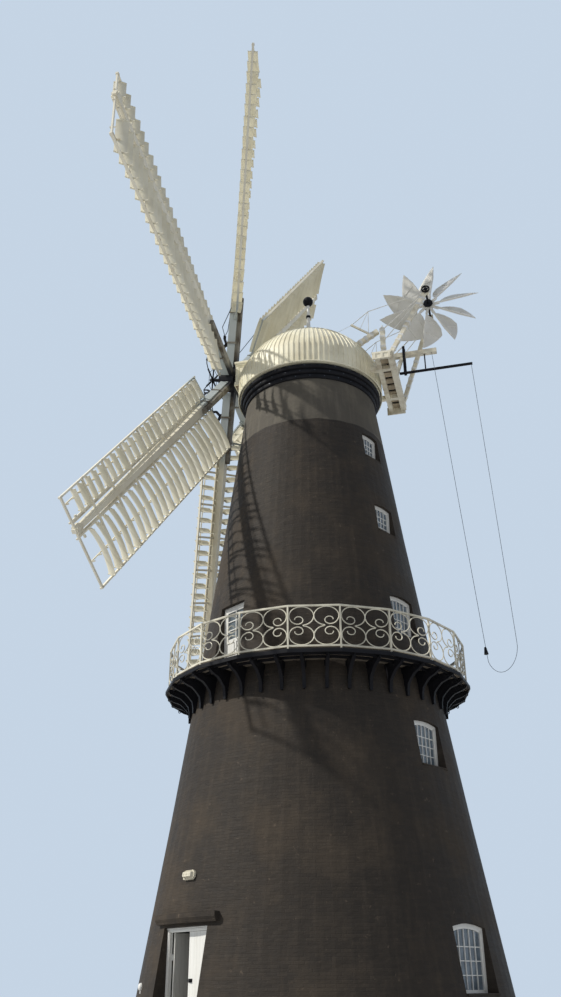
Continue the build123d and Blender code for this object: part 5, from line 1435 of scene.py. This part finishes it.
# %% [markdown]
# Thin rods brace the posts and hold up the rail that leans over the cap. Each could be a
# stretched cylinder, but a rod swept from one joint of the timbers to the next needs only the
# two points, and its ends are sure to land on what they brace.

# %% Stays
stays = Stock()
for side in (-1, 1):
    beam = side * BEAM_OFFSET
    bearing = (side * 0.74, 4.31, 22.86)
    rail_tip = (beam, 1.70, 21.81)
    upright_top = (beam, UPRIGHT, PLANK_TOP + 1.48)
    knee = (beam, 2.293, 22.28)
    for start, end, radius in ((rail_tip, knee, 0.013), (knee, bearing, 0.013), (knee, (beam, 2.27, 21.35), 0.009),
                               (knee, (beam, 1.98, 21.58), 0.008), ((beam, 0.9, 21.47), rail_tip, 0.006),
                               (upright_top, bearing, 0.02),
                               ((beam, UPRIGHT, PLANK_TOP + 0.98), (side * 0.85, 3.9, 22.31), 0.014)):
        stays.rod([start, end], radius, 6)
piece("fan_stays", stays, fan_white, "cap")

# %% [markdown]
# Dark strips over the open joints between the stage's planks are painted shade: they stand for
# the dark above the joints, where the sky would otherwise show through. A narrow ledge on small
# blocks runs along the stage's edge. Cutting the joints into the planks would change the solid
# model; a strip a few millimetres thick reads as a shaded joint from every side.

# %% Gap strips and ledges
STAGE_HALF = 1.7
PLANK_WIDTH = 0.25
PLANK_GAPS = 8
shade_strips = Stock()
step = (2 * STAGE_HALF - PLANK_WIDTH) / PLANK_GAPS
for gap in range(PLANK_GAPS):
    middle = -STAGE_HALF + PLANK_WIDTH / 2 + (gap + 0.5) * step
    # Each dark strip over a joint is painted shade
    shade_strips.block((middle - 0.085, 2.50, PLANK_TOP + 0.001), (middle + 0.085, 3.06, PLANK_TOP + 0.014))
piece("stage_gap_shade_strips", shade_strips, black_iron, "cap")
ledge = Stock()
for side in (-1, 1):
    near, far = side * 1.7356, side * 1.7556
    for low, high in ((19.86, 19.93), (19.66, 19.70)):
        ledge.block((near, 2.44, low), (far, 3.08, high))
    for place in (2.52, 2.76, 3.0):
        ledge.block((near, place - 0.04, 19.70), (far, place + 0.04, 19.86))
ledge.block((-STAGE_HALF, 3.1155, 19.87), (STAGE_HALF, 3.13, 19.93))
piece("stage_ledges", ledge, cream_stage, "cap", bevel=0.003)

# %% [markdown]
# ## The striking chain
# An endless light chain hangs from the pole behind the cap down to the gallery, where the miller
# pulled it to open and close the shutters. It hangs in one long slack loop with a small weight.
# Its links are too small to see, so it is one smooth curve with a round section, which follows
# the route that the solid chain has.

# %% Chain
CHAIN_POINTS = [
    (0, 5.54, 20.0994),
    (0.010, 5.900, 10.360),
    (0.012, 5.884, 10.150),
    (0.018, 5.822, 9.915),
    (0.028, 5.704, 9.700),
    (0.040, 5.540, 9.545),
    (0.052, 5.352, 9.490),
    (0.062, 5.180, 9.572),
    (0.068, 5.064, 9.736),
    (0.070, 5.012, 9.936),
    (0.066, 4.272, 20.7994),
]
CHAIN_DIAMETER = 0.014
chain_data = bpy.data.curves.new("striking_chain", "CURVE")
chain_data.dimensions = "3D"
run = chain_data.splines.new("NURBS")
run.points.add(len(CHAIN_POINTS) - 1)
for place, point in zip(run.points, CHAIN_POINTS):
    place.co = (*point, 1)
run.order_u = 3
run.use_endpoint_u = True
run.resolution_u = 12
chain_data.bevel_depth = CHAIN_DIAMETER / 2
chain_data.bevel_resolution = 2
chain_data.materials.append(dull_steel.material)
striking_chain = bpy.data.objects.new("striking_chain", chain_data)
bpy.context.scene.collection.objects.link(striking_chain)
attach(striking_chain, "cap")
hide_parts("chain")

# %% [markdown] ## Sizes The triangles that the pieces add are counted.
# The dressed mill must stay inside the solid model's box.

# %% Sizes
print("triangles added", sum(triangles.values()), "largest", max(triangles.values()))
